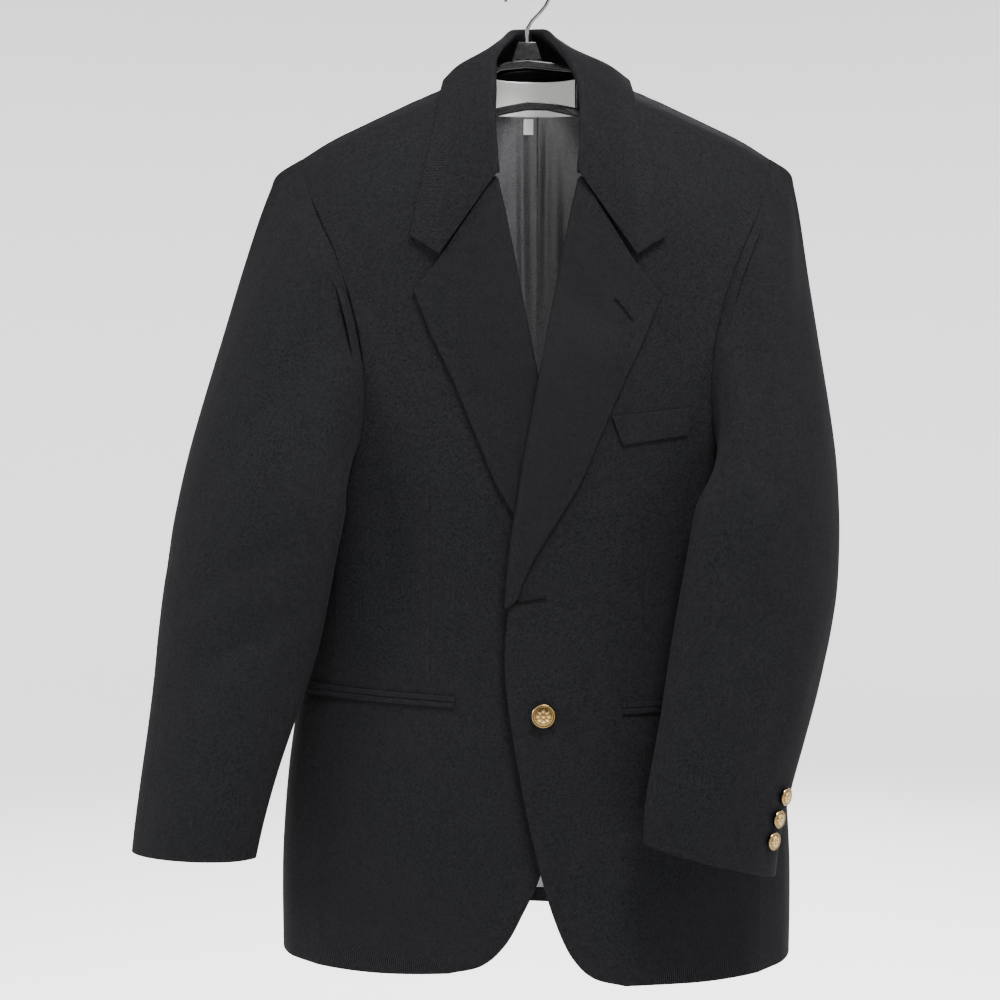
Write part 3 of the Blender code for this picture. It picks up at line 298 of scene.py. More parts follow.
# Viscose satin: long floats lie side by side and shine along the folds. Its threads are finer than the
# 1 mm that they are drawn at, so that they show.
satin = woven_cloth("slate viscose satin, woven", "#19191B", "#5F5F62", 0.001, 4, 0.00008, 0.5,
                    Roughness=0.34, Sheen_Weight=0.12, Sheen_Roughness=0.3, Specular_IOR_Level=0.7)
# A damask label: fine polyester threads, pale and a little lustrous. It is left bare, and its threads are
# drawn at 0.9 mm so that they show.
woven = woven_cloth("pale polyester damask, woven", "#F2F1EE", "#FEFEFD", 0.0009, 0, 0.00008, 0.2,
                    Roughness=0.6, Sheen_Weight=0.15)
# Buttonhole twist: silk thread wound closely round the slit, which looks like a fine dark cord.
twist = woven_cloth("navy silk twist, wound", "#010101", "#0C0C0D", 0.0008, 80, 0.0001, 0.3, Roughness=0.6,
                    Specular_IOR_Level=0.05)

# %% [markdown]
# Gilt brass buttons are stamped and polished. Their colour carries painted shade: dark brown in the hollows,
# on plain faces and round the sides, and pale brass only on the relief that stands up. The hanger is moulded
# polystyrene, black and glossy, and its hook is chromed steel wire.

# %% Hard materials
def mottled(name, dark, light, grain, rough, depth, coloured_by=None, **sockets):
    """A hard finish: roughness and height vary with a fine grain, in metres, on the piece's own place.

    Its colour varies with that grain too, or with a value that its points carry, such as a painted shade.
    """
    material, shader = begin(name, **sockets)
    place = add(material, "ShaderNodeTexCoord").outputs["Object"]
    noise = add(material, "ShaderNodeTexNoise", {0: place, "Scale": 1 / grain, "Detail": 4.0}).outputs["Fac"]
    varied = noise
    if coloured_by:
        varied = add(material, "ShaderNodeAttribute", attribute_name=coloured_by).outputs["Fac"]
    span = add(material, "ShaderNodeMapRange", {0: noise, "From Min": 0.3, "From Max": 0.7,
                                                "To Min": rough[0], "To Max": rough[1]})
    connect(material, span.outputs[0], shader, "Roughness")
    finish_surface(material, shader, varied, (dark, light), (0.15, 0.85), noise, 0.4, depth)
    return material


# The buttons' colour follows a value that their points carry: painted shade, dark in the hollows and on plain
# faces.
brass = mottled("gilt brass, stamped and polished", "#120C05", "#A98A58", 0.002, (0.14, 0.28), 0.00004,
                "raised", Metallic=1.0)
plastic = mottled("black polystyrene, moulded", "#050505", "#0C0C0D", 0.004, (0.22, 0.38), 0.00005,
                  Coat_Weight=0.1, Coat_Roughness=0.12, Specular_IOR_Level=0.22)
chrome = mottled("chromed steel wire, drawn", "#6C6D70", "#98999C", 0.0015, (0.1, 0.25), 0.00002,
                 Metallic=1.0)


# %% [markdown]
# A grid from the tables has cells of one or two centimetres. A Catmull-Rom curve passes through its points
# and bends smoothly between them, so a matrix of its weights refines the grid in both directions at once.
# Extra rows and columns close to the edges let the cloth's cut edge be rounded, as pressing rounds it.

# %% Refining a grid
EDGE_STOPS = np.array([0.2, 0.5, 0.8])  # extra rows this far from an edge
EDGE_ROUND = 0.8  # the cloth thins towards its edge over this width
EDGE_LEFT = 0.4  # the share of its thickness left at the very edge


def stops(steps, cell, extra=()):
    """Places along a grid's side, in its own cells: even ones, close ones by both ends, and extra ones."""
    count = len(steps)
    even = np.linspace(0, count, max(int(steps.sum() / cell), count * 2) + 1)
    close = np.concatenate([EDGE_STOPS / steps[0], count - EDGE_STOPS / steps[-1], extra])
    return np.unique(np.concatenate([even, close[(close > 0) & (close < count)]]))


def curve_weights(places, count, corners=()):
    """Weights of a Catmull-Rom curve, a row for each place. Past the ends the points go straight on.

    The curve is cut in two at each corner, so that the outline keeps its point there.
    """
    if corners:
        corner, later = corners[0], [row - corners[0] for row in corners[1:]]
        made = np.zeros((len(places), count))
        low = places <= corner
        made[np.ix_(low, range(corner + 1))] = curve_weights(places[low], corner + 1)
        made[np.ix_(~low, range(corner, count))] = curve_weights(places[~low] - corner, count - corner, later)
        return made
    i = np.clip(places.astype(int), 0, count - 2)
    t = places - i
    four = (2 * t**2 - t**3 - t, 3 * t**3 - 5 * t**2 + 2, 4 * t**2 - 3 * t**3 + t, t**3 - t**2)
    wide = np.zeros((len(places), count + 2))
    for k, weight in enumerate(four):
        np.add.at(wide, (np.arange(len(places)), i + k), weight / 2)
    made = wide[:, 1:-1].copy()
    made[:, 0] += 2 * wide[:, 0]
    made[:, 1] -= wide[:, 0]
    made[:, -1] += 2 * wide[:, -1]
    made[:, -2] -= wide[:, -1]
    return made


def straight_weights(places, count):
    """Weights of straight lines between the points."""
    i = np.clip(places.astype(int), 0, count - 2)
    made = np.zeros((len(places), count))
    made[np.arange(len(places)), i] = 1 - (places - i)
    made[np.arange(len(places)), i + 1] = places - i
    return made


def refined(grid, down, along):
    """A fine grid: rows and then columns of a coarse one, blended by their weights."""
    flat = grid if grid.ndim == 3 else grid[..., None]
    flat = np.einsum("ri,ijk->rjk", down, flat)
    flat = np.einsum("rjk,cj->rck", flat, along)
    return flat if grid.ndim == 3 else flat[..., 0]


def steps_of(grid, axis):
    """The length of each cell along one axis."""
    return np.linalg.norm(np.diff(grid, axis=axis), axis=-1)


# %% [markdown]
# A cloth piece is the loft between its outer and inner faces, closed by a rim. Lengths measured along its
# surface give its UV map.

# %% Laying cloth
def put_mesh(name, verts, faces, material, uv=None):
    """An object at the origin, its points moved from the garment's millimetres to the frame's metres."""
    mesh = bpy.data.meshes.new(name)
    place = (np.asarray(verts, float).reshape(-1, 3) + (GARMENT_X, 0, 0)) * MM
    mesh.from_pydata(place.tolist(), [], [list(face) for face in faces])
    if uv is not None:
        corner = np.empty(len(mesh.loops), int)
        mesh.loops.foreach_get("vertex_index", corner)
        mesh.uv_layers.new(name="cloth").data.foreach_set("uv", (uv[corner] * MM).astype(np.float32).ravel())
    mesh.shade_smooth()
    mesh.materials.append(material)
    obj = new_object(f"dressed_{name}", mesh)
    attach(obj, "root")
    return obj


def shell_faces(rows, columns, turned_over):
    """Faces of both sides of a shell and of its rim, from the grid's numbering."""
    number = np.arange(rows * columns).reshape(rows, columns)
    a, b = number[:-1, :-1].ravel(), number[1:, :-1].ravel()
    below = rows * columns
    front = np.stack([a, a + 1, b + 1, b], 1)
    back = np.stack([a, b, b + 1, a + 1], 1) + below
    border = np.concatenate([number[0, :-1], number[:-1, -1], number[-1, :0:-1], number[:0:-1, 0]])
    ahead = np.roll(border, -1)
    rim = np.stack([ahead, border, below + border, below + ahead], 1)
    faces = np.concatenate([front, back, rim])
    return faces[:, ::-1] if turned_over else faces


CLOTH_FACES = {}  # each piece's fine outer points and outward directions, for what is sewn on it


def lay_cloth(name, outer, inner, material, relief=None, held="hung", cell=3.0, extra=(), turns=None,
              corners=(), node=True, square=False):
    """Refines a piece, adds its relief along its outward direction and rounds its edges."""
    rows, columns = stops(steps_of(outer, 0).mean(1), cell), stops(steps_of(outer, 1).mean(0), cell, extra)
    down, along = curve_weights(rows, outer.shape[0], corners), curve_weights(columns, outer.shape[1])
    if square:
        # In the first and last cells the rows run straight, so that an end keeps its cut corners.
        straight = straight_weights(columns, outer.shape[1])
        at_end = (1 - ease(np.minimum(rows, rows[-1] - rows), 0, 1))[:, None, None]
        outer, inner = (refined(face, down, along) * (1 - at_end) + refined(face, down, straight) * at_end
                        for face in (outer, inner))
    else:
        outer, inner = refined(outer, down, along), refined(inner, down, along)
    out = unit(outer - inner)
    if relief:
        first = outer[..., 0] if turns is None else refined(turns, down, along)
        move = relief(first, -outer[..., 2])[..., None] * out
        outer, inner = outer + move, inner + move
    middle = (outer + inner) / 2
    # Lengths along rows and columns give both the UV map and the distance from the nearest edge.
    v = np.pad(np.cumsum(steps_of(middle, 0), 0), ((1, 0), (0, 0)))
    u = np.pad(np.cumsum(steps_of(middle, 1), 1), ((0, 0), (1, 0)))
    from_edge = np.minimum(np.minimum(v, v[-1:] - v), np.minimum(u, u[:, -1:] - u))
    bend = np.sqrt(1 - (1 - np.clip(from_edge / EDGE_ROUND, 0, 1)) ** 2)
    share = (EDGE_LEFT + (1 - EDGE_LEFT) * bend)[..., None]
    outer, inner = middle + (outer - middle) * share, middle + (inner - middle) * share
    CLOTH_FACES[name] = outer, out
    across, downward = np.diff(middle, axis=1)[:-1], np.diff(middle, axis=0)[:, :-1]
    cross = np.cross(across, downward)
    faces = shell_faces(*middle.shape[:2], (cross * out[:-1, :-1]).sum() < 0)
    uv = np.stack([u, v], -1).reshape(-1, 2)
    obj = put_mesh(name, np.concatenate([outer.reshape(-1, 3), inner.reshape(-1, 3)]), faces, material,
                   np.concatenate([uv, uv]))
    if node:
        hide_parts(name)
    return outer, inner


# %% [markdown]
# Folds are soft troughs along short lines, each fading at its ends. No two are alike in length, depth or
# spacing. A dart is a narrow groove, where cloth was pinched and sewn to shape the waist.

# %% Folds
def troughs(folds, first, drop):
    """The sum of the folds: a bell-shaped trough across each line, and a sine's fade along it."""
    total = np.zeros_like(drop)
    for a1, d1, a2, d2, width, depth in zip(*folds.values()):
        span_a, span_d = a2 - a1, d2 - d1
        along = ((first - a1) * span_a + (drop - d1) * span_d) / (span_a**2 + span_d**2)
        inside = np.clip(along, 0, 1)
        apart = np.hypot(first - a1 - inside * span_a, drop - d1 - inside * span_d)
        total -= depth * np.exp(-((apart / width) ** 2)) * np.sin(np.pi * np.clip(along, 0.01, 0.99)) ** 0.5
    return total


FOLD = "a1 d1 a2 d2 width depth"
FRONT_FOLDS = table(
    FOLD,
    (-92, 452, -92, 634, 1.1, 0.75), (88, 456, 91, 631, 1.1, 0.75),
    (-138, 400, -120, 590, 20, 2.0), (140, 410, 122, 570, 18, 1.8), (-60, 600, -48, 700, 13, 1.0),
    (42, 600, 41, 676, 8, 1.3), (20, 664, 62, 720, 10, 0.9), (-20, 668, -60, 740, 12, 0.8),
    (-150, 655, -140, 800, 17, 1.3), (150, 660, 136, 810, 19, 1.4), (-70, 700, -64, 860, 21, 1.2),
    (88, 690, 94, 865, 23, 1.4), (-168, 225, -140, 330, 12, 1.6), (170, 215, 142, 330, 13, 1.7),
    (-95, 150, -150, 205, 18, 1.0), (100, 155, 150, 200, 16, 1.0), (-110, 640, -180, 650, 9, -0.7),
)
BACK_FOLDS = table(
    FOLD,
    (-150, 240, -128, 470, 16, 2.4), (152, 250, 132, 450, 17, 2.1), (-118, 210, -104, 380, 12, 1.2),
    (116, 215, 108, 400, 13, 1.4), (-60, 120, 50, 128, 9, 0.8), (-90, 500, -20, 520, 14, 1.1),
    (86, 492, 24, 508, 12, 0.9), (-96, 640, -112, 845, 20, 1.6), (104, 630, 118, 850, 22, 1.8),
    (-140, 560, -60, 545, 13, 1.0), (150, 560, 70, 550, 12, 0.8), (-56, 700, -60, 850, 14, 0.9),
)


def seam_fade(x, drop, back):
    """1 inside a panel and 0 at its outer seam, so that neighbours still meet."""
    edge = np.where(drop > SEAM_TOP, seam_across(drop, back), armhole_across(drop, back))
    return 1 - ease(np.abs(x), edge - 20, edge - 2)


def front_relief(x, drop):
    return troughs(FRONT_FOLDS, x, drop) * seam_fade(x, drop, False)


def back_relief(x, drop):
    return troughs(BACK_FOLDS, x, drop) * seam_fade(x, drop, True)


# %% [markdown]
# The panels: each grid runs from the centre edge to the outer edge, and from the hem up to the shoulder.
# The wearer's left front laps over the right one, and the backs have a vent below the waist.

# %% Panel outlines
# The outer edge of a front or back runs up the side seam and then round the armhole.
OUTER_DROP = np.array([
    870, 850, 820, 785, 745, 705, 665, 625, 585, 545, 510, 480,
    450, 441, 425, 383, 341, 300, 262, 230, 208, 190, 178, 169,
], float)
ARMHOLE_ROW = 12  # the row of OUTER_DROP where the side seam ends and the armhole starts
ARMHOLE = table(
    "drop front back",
    (169, 208, 208), (178, 206, 207), (190, 203, 206), (208, 197, 203), (230, 188, 198), (262, 173, 190),
    (300, 159, 180), (341, 150, 174), (383, 147, 170), (425, 152, 168), (441, 163, 167.5), (450, 176, 168),
)
COLUMNS = 12  # cells from a panel's centre edge to its outer edge
# Front edges from the hem corner up: cutaway, front edge, roll line and neckline. The upper roll line and
# the neckline are the same on both sides.
ROLL_AND_NECK = (
    (6, 332), (13, 296), (20, 260), (27, 226), (33, 197), (44, 153), (53, 131), (64, 114), (76.7, 101),
)
LEFT_EDGE = table(
    "across drop",
    (72, 876), (45, 868), (27, 850), (14, 822), (3, 787), (-7, 745), (-15, 705), (-23.5, 655), (-28, 608),
    (-29, 560), (-25, 515), (-18.5, 472), (-13, 437), (-6, 400), (-0.5, 368), *ROLL_AND_NECK,
)
RIGHT_EDGE = table(
    "across drop",
    (75, 867), (47, 860), (27, 842), (12, 815), (-1, 787), (-12, 745), (-20, 705), (-26, 655), (-29, 608),
    (-29.5, 560), (-25, 515), (-19, 472), (-13, 437), (-6.5, 400), (-1, 368), *ROLL_AND_NECK,
)
EDGES = {-1: RIGHT_EDGE, 1: LEFT_EDGE}
BACK_EDGE_DROP = np.array([
    850, 832, 804, 770, 730, 690, 650, 620, 580, 540, 505, 470,
    435, 405, 370, 330, 290, 250, 212, 175, 145, 116, 93, 75,
], float)
BREAK_ROW = 9  # the row of a front edge where the roll line starts
NECK_ROW = 19  # the row where the roll line ends and the neckline starts
NECKLINE = table("across drop", (0, 75), (17, 76), (35, 80.5), (54, 90.5), (77, 100.5))
FRONT_HEM_DROP = {-1: 867.0, 1: 874.0}
BACK_HEM_DROP = 851.0
SIDE_HEM_EXTRA = 6.0  # the back's hem is this much lower at its side seam
FRONT_HEM_SAG = 2.0
SEAM_TOP, HEM_DROP = 450.0, 870.0  # OUTER_DROP's side seam runs between these
HEM_ROWS = 4  # the hem's sag fades out over this many rows
NECK_ROWS = 3  # this many rows below the neckline start to bend to the panel's top
VENT_ROW = np.count_nonzero(BACK_EDGE_DROP > VENT_TOP) - 1  # the vent's lap steps out just above it


def armhole_across(drop, back):
    return smooth(drop, ARMHOLE["drop"], ARMHOLE["back" if back else "front"])


def seam_across(drop, back):
    """Where the side seam of a front or back panel lies."""
    angle = BACK_SEAM_ANGLE if back else FRONT_SEAM_ANGLE
    return body("width", drop) * np.cos(angle + SEAM_HALF / SEAM_RADIUS) ** (2 / BODY_POWER)


def outer_edge(back, hem):
    """Across and drop of a panel's outer edge, row by row."""
    drop = OUTER_DROP.copy()
    low = np.arange(len(drop)) <= ARMHOLE_ROW
    drop[low] = SEAM_TOP + (drop[low] - SEAM_TOP) * (hem - SEAM_TOP) / (HEM_DROP - SEAM_TOP)
    across = np.where(low, seam_across(drop, back), armhole_across(drop, back))
    return across, drop


def panel_grid(edge_across, edge_drop, back, hem, hem_sag):
    """Across and drop of a panel's points: rows run from its centre edge to its outer edge."""
    outer_across, outer_drop = outer_edge(back, hem)
    t = np.linspace(0, 1, COLUMNS + 1)[None, :]
    across = edge_across[:, None] * (1 - t) + outer_across[:, None] * t
    drop = edge_drop[:, None] * (1 - t) + outer_drop[:, None] * t
    top = smooth(across[-1], RIDGE["across"], RIDGE["drop"])
    if back:
        inside = across[-1] < NECKLINE["across"][-1]
        top = np.where(inside, smooth(across[-1], NECKLINE["across"], NECKLINE["drop"]), top)
    rows = np.arange(len(edge_drop))[:, None]
    near_top = ease(rows, NECK_ROW - NECK_ROWS, len(edge_drop) - 1)
    drop = drop + (top - drop[-1])[None, :] * near_top
    near_hem = 1 - ease(rows, 0, HEM_ROWS)
    drop = drop + hem_sag * np.sin(np.pi * t) * near_hem
    return across, drop


def front_out(side, x, drop):
    """The lift of the wearer's left front where it laps over the right one, which has none."""
    return LAP_LIFT * (1 - ease(x, *LAP_ACROSS)) * ease(drop, *LAP_DROP) * (side > 0)


# %% Fronts, side panels and backs
ROLL_TUCK = 4.0  # the front panel's edge stops this far inside the rolled edge
DART_COLUMNS = np.arange(6.4, 7.35, 0.045)  # close columns where the darts run
SIDE_TURNS = np.array([1, 0.5, 0, -0.5, -1])  # across a side panel, from its front seam to its back seam


def make_front(name, side, edge, hem):
    edge_across = edge["across"].copy()
    rows = np.arange(len(edge_across))
    rolled = ease(rows, BREAK_ROW - 1, BREAK_ROW) * (rows <= NECK_ROW)
    edge_across += ROLL_TUCK * rolled
    across, drop = panel_grid(edge_across, edge["drop"], False, hem, FRONT_HEM_SAG)
    x = side * across
    outer, inner = two_faces(x, drop, front_out(side, x, drop))
    lay_cloth(name, outer, inner, wool, front_relief, extra=DART_COLUMNS, corners=(ARMHOLE_ROW,))
    return outer, inner


def make_back(name, side):
    edge_across = np.full(len(BACK_EDGE_DROP), SEAM_HALF)
    if side > 0:
        edge_across -= VENT_LAP * (BACK_EDGE_DROP > VENT_TOP)
    across, drop = panel_grid(edge_across, BACK_EDGE_DROP, True, BACK_HEM_DROP + SIDE_HEM_EXTRA, 0.0)
    x = side * across
    lift = VENT_LIFT * ease(drop, *VENT_RISE) * (1 - ease(across, *VENT_ACROSS)) * (side > 0)
    outer, inner = two_faces(x, drop, lift, back=True)
    lay_cloth(name, outer, inner, wool, back_relief, cell=4.0,
              corners=(VENT_ROW, VENT_ROW + 1, ARMHOLE_ROW))
    return outer, inner


def make_side(name, side, front_hem):
    angles = np.where(SIDE_TURNS > 0, SIDE_TURNS * FRONT_SEAM_ANGLE, SIDE_TURNS * BACK_SEAM_ANGLE)
    angles = angles - np.sign(SIDE_TURNS) * (np.abs(SIDE_TURNS) == 1) * SEAM_HALF / SEAM_RADIUS
    low = OUTER_DROP[: ARMHOLE_ROW + 1]
    hem = np.interp(SIDE_TURNS, (-1, 1), (BACK_HEM_DROP + SIDE_HEM_EXTRA, front_hem))
    drop = SEAM_TOP + (low[:, None] - SEAM_TOP) * (hem[None, :] - SEAM_TOP) / (HEM_DROP - SEAM_TOP)
    angle = np.broadcast_to(angles, drop.shape)
    outer, inner = side_point(angle, drop, side), side_point(angle, drop, side, -CLOTH)
    lay_cloth(name, outer, inner, wool)
    return outer, inner


# %% [markdown]
# A sleeve is two pieces, a top and an under sleeve, on a bent tube that starts as the armhole. The ring's
# table gives how its cloth leaves the body at each place and where that goes on the arm.

# %% The sleeves' form
# Places round the armhole: the angle at which cloth leaves the body there, its turn on the arm, and the
# share of the easing that it gets. Angles and turns are in degrees.
RING = table(
    "leave turn eased",
    (10, 0, 0), (10, 9, 0), (12, 18, 0), (16, 29, 0), (24, 41, 0), (36, 57, 0), (50, 78, 0), (64, 103, 0),
    (78, 135, 0), (88, 168, 0), (94, 190, 0.1), (98, 206, 0.2), (100, 220, 0.4), (100, 236, 0.6),
    (98, 252, 0.8), (94, 267, 1), (88, 280, 1), (80, 292, 1), (70, 304, 1), (58, 314, 0.9),
    (46, 323, 0.7), (34, 331, 0.4), (25, 338, 0.2), (18, 344, 0), (13, 350, 0), (10, 355, 0),
)
EASINGS = 4  # times that the eased part of a sleeve is smoothed
EASED_ROWS = (1, 6)  # the easing grows to its full share over these rows
FREE_ROW = 3  # from this row on an eased sleeve is kept clear of the body
FACING_ROWS = 3  # over these rows the cloth's facing swings from the seam's to the open sleeve's
CAP_START = 3 * SEAM_HALF  # a sleeve's first row from the armhole's edge, under which it starts
FORE_SEAM, HIND_SEAM = 12, 20  # places in RING where top and under sleeve are joined
SLEEVE_COLUMNS = "drop inner_across inner_y outer_across outer_y front back twist slope"
# Each sleeve from the arm's top to the cuff, given as on the wearer's left: the places of its inner and
# outer edge, how far it stands out in front and behind, its turn in degrees and the slope of its sections
RIGHT_SLEEVE = table(
    SLEEVE_COLUMNS,
    (480, 160, -88, 312, -12, 46, 104, 0, 0),
    (520, 168, -88, 319, -14, 43, 84, 0, 0),
    (570, 180, -85, 326, -16, 41, 60, 2, 0),
    (625, 195, -82, 331, -20, 39, 42, 4, 0.01),
    (680, 213, -82, 337, -26, 37, 30, 6, 0.02),
    (720, 226, -82, 342, -32, 35, 28, 8, 0.01),
    (771, 238, -82, 347, -40, 33, 27, 10, 0),
)
LEFT_SLEEVE = table(
    SLEEVE_COLUMNS,
    (480, 128, -102, 257, -22, 44, 100, 0, 0),
    (520, 122, -106, 257, -28, 42, 84, 4, 0.02),
    (570, 116, -110, 251, -40, 40, 60, 9, 0.06),
    (625, 107, -114, 236, -56, 37, 40, 15, 0.12),
    (680, 97, -120, 217, -74, 33, 28, 20, 0.18),
    (720, 88, -124, 204, -86, 30, 22, 24, 0.24),
    (765, 84, -126, 196, -92, 27, 20, 28, 0.29),
)
SLEEVES = {-1: RIGHT_SLEEVE, 1: LEFT_SLEEVE}
CAP_STEPS = (0.07, 0.17, 0.3, 0.46, 0.64, 0.82)  # rows of the cap, as shares of the way down to the arm
SLEEVE_HEAD = {-1: 20.0, 1: 16.0}  # how far the padded sleeve head stands out past the armhole
ARM_STEPS = (0, 0.12, 0.24, 0.37, 0.5, 0.63, 0.76, 0.89, 1)
SEAM_PULL = 14.0  # how strongly a sleeve's cloth keeps to its seam's direction
STRAIGHT_BACK = (500.0, 620.0)
BODY_CLEAR = 8.0  # a sleeve stays at least this far off the body
ARM_TOP = 480.0  # drop where the open cap has become the arm's tube
ARM_WAY = 4.0  # the arm's direction is taken over this drop from its top
OUT_PULL, DOWN_PULL = 0.34, 0.92  # the cap's pulls at both ends, as shares of its length
HEAD_SPREAD, HEAD_POWER = 1.1, 1.2  # how fast the padded head fades round the ring
HEAD_EASE = 0.55  # the share of the outward pull that the padded head takes up
CAP_CLEAR = 0.6  # the share of BODY_CLEAR kept while the cap is eased
CREASE_CLEAR = 1.0  # clearance from the body where a crease is pressed in
TURN_LENGTH = 1.1  # millimetres of cloth in one degree of turn
# Creases of a sleeve: from and to a drop and a turn, half width and depth
SLEEVE_CREASES = {
    -1: table("drop_a turn_a drop_b turn_b width depth",
              (250, 60, 400, 95, 16, 5), (560, 150, 640, 40, 14, 4), (690, 120, 720, 30, 12, 3)),
    1: table("drop_a turn_a drop_b turn_b width depth",
             (230, 25, 455, 100, 16, 6), (565, 135, 620, 60, 14, 4), (640, 30, 700, 110, 12, 3)),
}


def sleeve_section(sleeve, turn, drop):
    """A point on the arm, in outward-positive coordinates, from its turn round the section in degrees."""
    at = {name: smooth(drop, sleeve["drop"], sleeve[name]) for name in sleeve if name != "drop"}
    turn = np.radians(np.asarray(turn, float) + at["twist"])
    inner = np.stack([at["inner_across"], at["inner_y"]], -1)
    outer = np.stack([at["outer_across"], at["outer_y"]], -1)
    half = (outer - inner) / 2
    along = unit(half)
    forward = np.stack([along[..., 1], -along[..., 0]], -1)
    # High up, the back of the arm stands straight back from it, and clear of the body's side.
    low = ease(drop, *STRAIGHT_BACK)[..., None]
    backward = unit(forward * low + np.array([0, -1.0]) * (1 - low))
    ahead, behind = forward * at["front"][..., None], backward * at["back"][..., None]
    depth = np.where(np.sin(turn)[..., None] > 0, ahead, behind)
    place = (inner + outer) / 2 + half * np.cos(turn)[..., None] + depth * np.sin(turn)[..., None]
    lower = drop + at["slope"] * (place[..., 0] - (inner + outer)[..., 0] / 2)
    return clear_of_body(np.stack([place[..., 0], place[..., 1], -lower], -1), BODY_CLEAR)


def clear_of_body(point, margin):
    """Points that would lie inside the body's section are pushed out to the margin, as cloth would be."""
    x, y, drop = point[..., 0], point[..., 1], -point[..., 2]
    width = body("width", drop) + margin
    depth = body_depth(drop, y < 0) + margin
    reach = (np.abs(x / width) ** BODY_POWER + np.abs(y / depth) ** BODY_POWER) ** (1 / BODY_POWER)
    grow = np.maximum(1 / np.maximum(reach, 0.05), 1)
    return np.stack([x * grow, y * grow, -drop], -1)


def grid_normals(grid):
    """Outward normals of a tube's grid, whose columns go all the way round."""
    around = np.roll(grid, -1, 1) - np.roll(grid, 1, 1)
    along = np.gradient(grid, axis=0)
    return turned_to(unit(np.cross(around, along)), grid - grid.mean(1, keepdims=True), (1, 2))


def armhole_ring(side, front, side_wall, back):
    """Edge points, outward normals and the direction away from the panel, round the armhole."""
    def edge(outer, inner, before):
        normal = unit(outer - inner)
        away = unit(outer - before)
        return outer, normal, unit(away - normal * (away * normal).sum(-1, keepdims=True))

    rows = slice(None, ARMHOLE_ROW - 1, -1)
    front_edge = edge(front[0][rows, -1], front[1][rows, -1], front[0][rows, -2])
    back_edge = edge(back[0][rows, -1], back[1][rows, -1], back[0][rows, -2])
    top = edge(side_wall[0][-1, 1:-1], side_wall[1][-1, 1:-1], side_wall[0][-2, 1:-1])
    parts = [np.concatenate([f, s, b[::-1][:-1]]) for f, s, b in zip(front_edge, top, back_edge)]
    for part, other in zip(parts, back_edge):
        part[0] = (part[0] + other[0]) / 2
    place, normal, away = parts
    along = np.roll(place, -1, 0) - np.roll(place, 1, 0)
    across = turned_to(unit(np.cross(along, normal)), away)
    return [mirrored(part, side) for part in (place, normal, across)]


def leaving(normal, away, leave):
    """Where cloth goes as it leaves the armhole, and where its face looks, by its angle off the body."""
    leave = np.radians(leave)[:, None]
    departs = away * np.cos(leave) + normal * np.sin(leave)
    faces = normal * np.cos(leave) - away * np.sin(leave)
    return departs, faces


def sleeve_grids(side, sleeve, ring):
    """Outer and inner points of a whole sleeve, in the garment's frame."""
    place, normal, away = ring
    departs, faces = leaving(normal, away, RING["leave"])
    start = place + CAP_START * leaving(normal, away, RING["leave"] / 2)[0]
    level = np.ones(len(RING["turn"]))
    end = sleeve_section(sleeve, RING["turn"], level * ARM_TOP)
    below = sleeve_section(sleeve, RING["turn"], level * (ARM_TOP + ARM_WAY))
    reach = np.linalg.norm(end - start, axis=-1, keepdims=True)
    out_pull = departs * np.maximum(reach * OUT_PULL, SEAM_PULL)
    down_pull = unit(below - end) * reach * DOWN_PULL
    from_top = np.radians(np.minimum(RING["turn"], 360 - RING["turn"]))[:, None]
    head = np.maximum(np.cos(HEAD_SPREAD * from_top), 0) ** HEAD_POWER
    shoulder = start + departs * SLEEVE_HEAD[side] * head
    out_pull = out_pull * (1 - HEAD_EASE * head)
    rows = [start]
    for t in CAP_STEPS:
        row = (2 * t**3 - 3 * t**2 + 1) * shoulder + (t**3 - 2 * t**2 + t) * out_pull
        row = row + (3 * t**2 - 2 * t**3) * end + (t**3 - t**2) * down_pull
        rows.append(clear_of_body(row, BODY_CLEAR * min(1, t / 0.5)))
    first, last = sleeve["drop"][0], sleeve["drop"][-1]
    for step in ARM_STEPS:
        rows.append(sleeve_section(sleeve, RING["turn"], level * (first + (last - first) * step)))
    outer = np.stack(rows)
    easing = RING["eased"] * ease(np.arange(len(outer)), *EASED_ROWS)[:, None]
    for _ in range(EASINGS):
        eased = (np.roll(outer, 1, 1) + 2 * outer + np.roll(outer, -1, 1)) / 4
        eased[1:-1] = eased[1:-1] / 2 + (eased[:-2] + eased[2:]) / 4
        outer += (eased - outer) * easing[..., None]
        outer[FREE_ROW:] = clear_of_body(outer[FREE_ROW:], BODY_CLEAR * CAP_CLEAR)
    normals = grid_normals(outer)
    creases = SLEEVE_CREASES[side]
    for k in range(len(creases["depth"])):
        one = {name: column[k] for name, column in creases.items()}
        turn_span = (one["turn_b"] - one["turn_a"]) * TURN_LENGTH
        drop_span = one["drop_b"] - one["drop_a"]
        u = (RING["turn"][None, :] - one["turn_a"]) * TURN_LENGTH
        v = -outer[..., 2] - one["drop_a"]
        along = np.clip((u * turn_span + v * drop_span) / (turn_span**2 + drop_span**2), 0, 1)
        apart = np.hypot(u - along * turn_span, v - along * drop_span)
        faded = np.sin(np.pi * np.clip(along, 0.1, 0.9))
        dent = one["depth"] * np.exp(-((apart / one["width"]) ** 2)) * faded
        outer[1:-1] -= (normals * dent[..., None])[1:-1]
    outer[1:] = clear_of_body(outer[1:], CREASE_CLEAR)
    normals = grid_normals(outer)
    # Near the seam the cloth's facing swings from the seam's own to that of the open sleeve.
    for row in range(FACING_ROWS):
        share = row / FACING_ROWS
        normals[row] = unit(faces * (1 - share) + normals[FACING_ROWS] * share)
    inner = outer - CLOTH * normals
    return mirrored(outer, side), mirrored(inner, side)


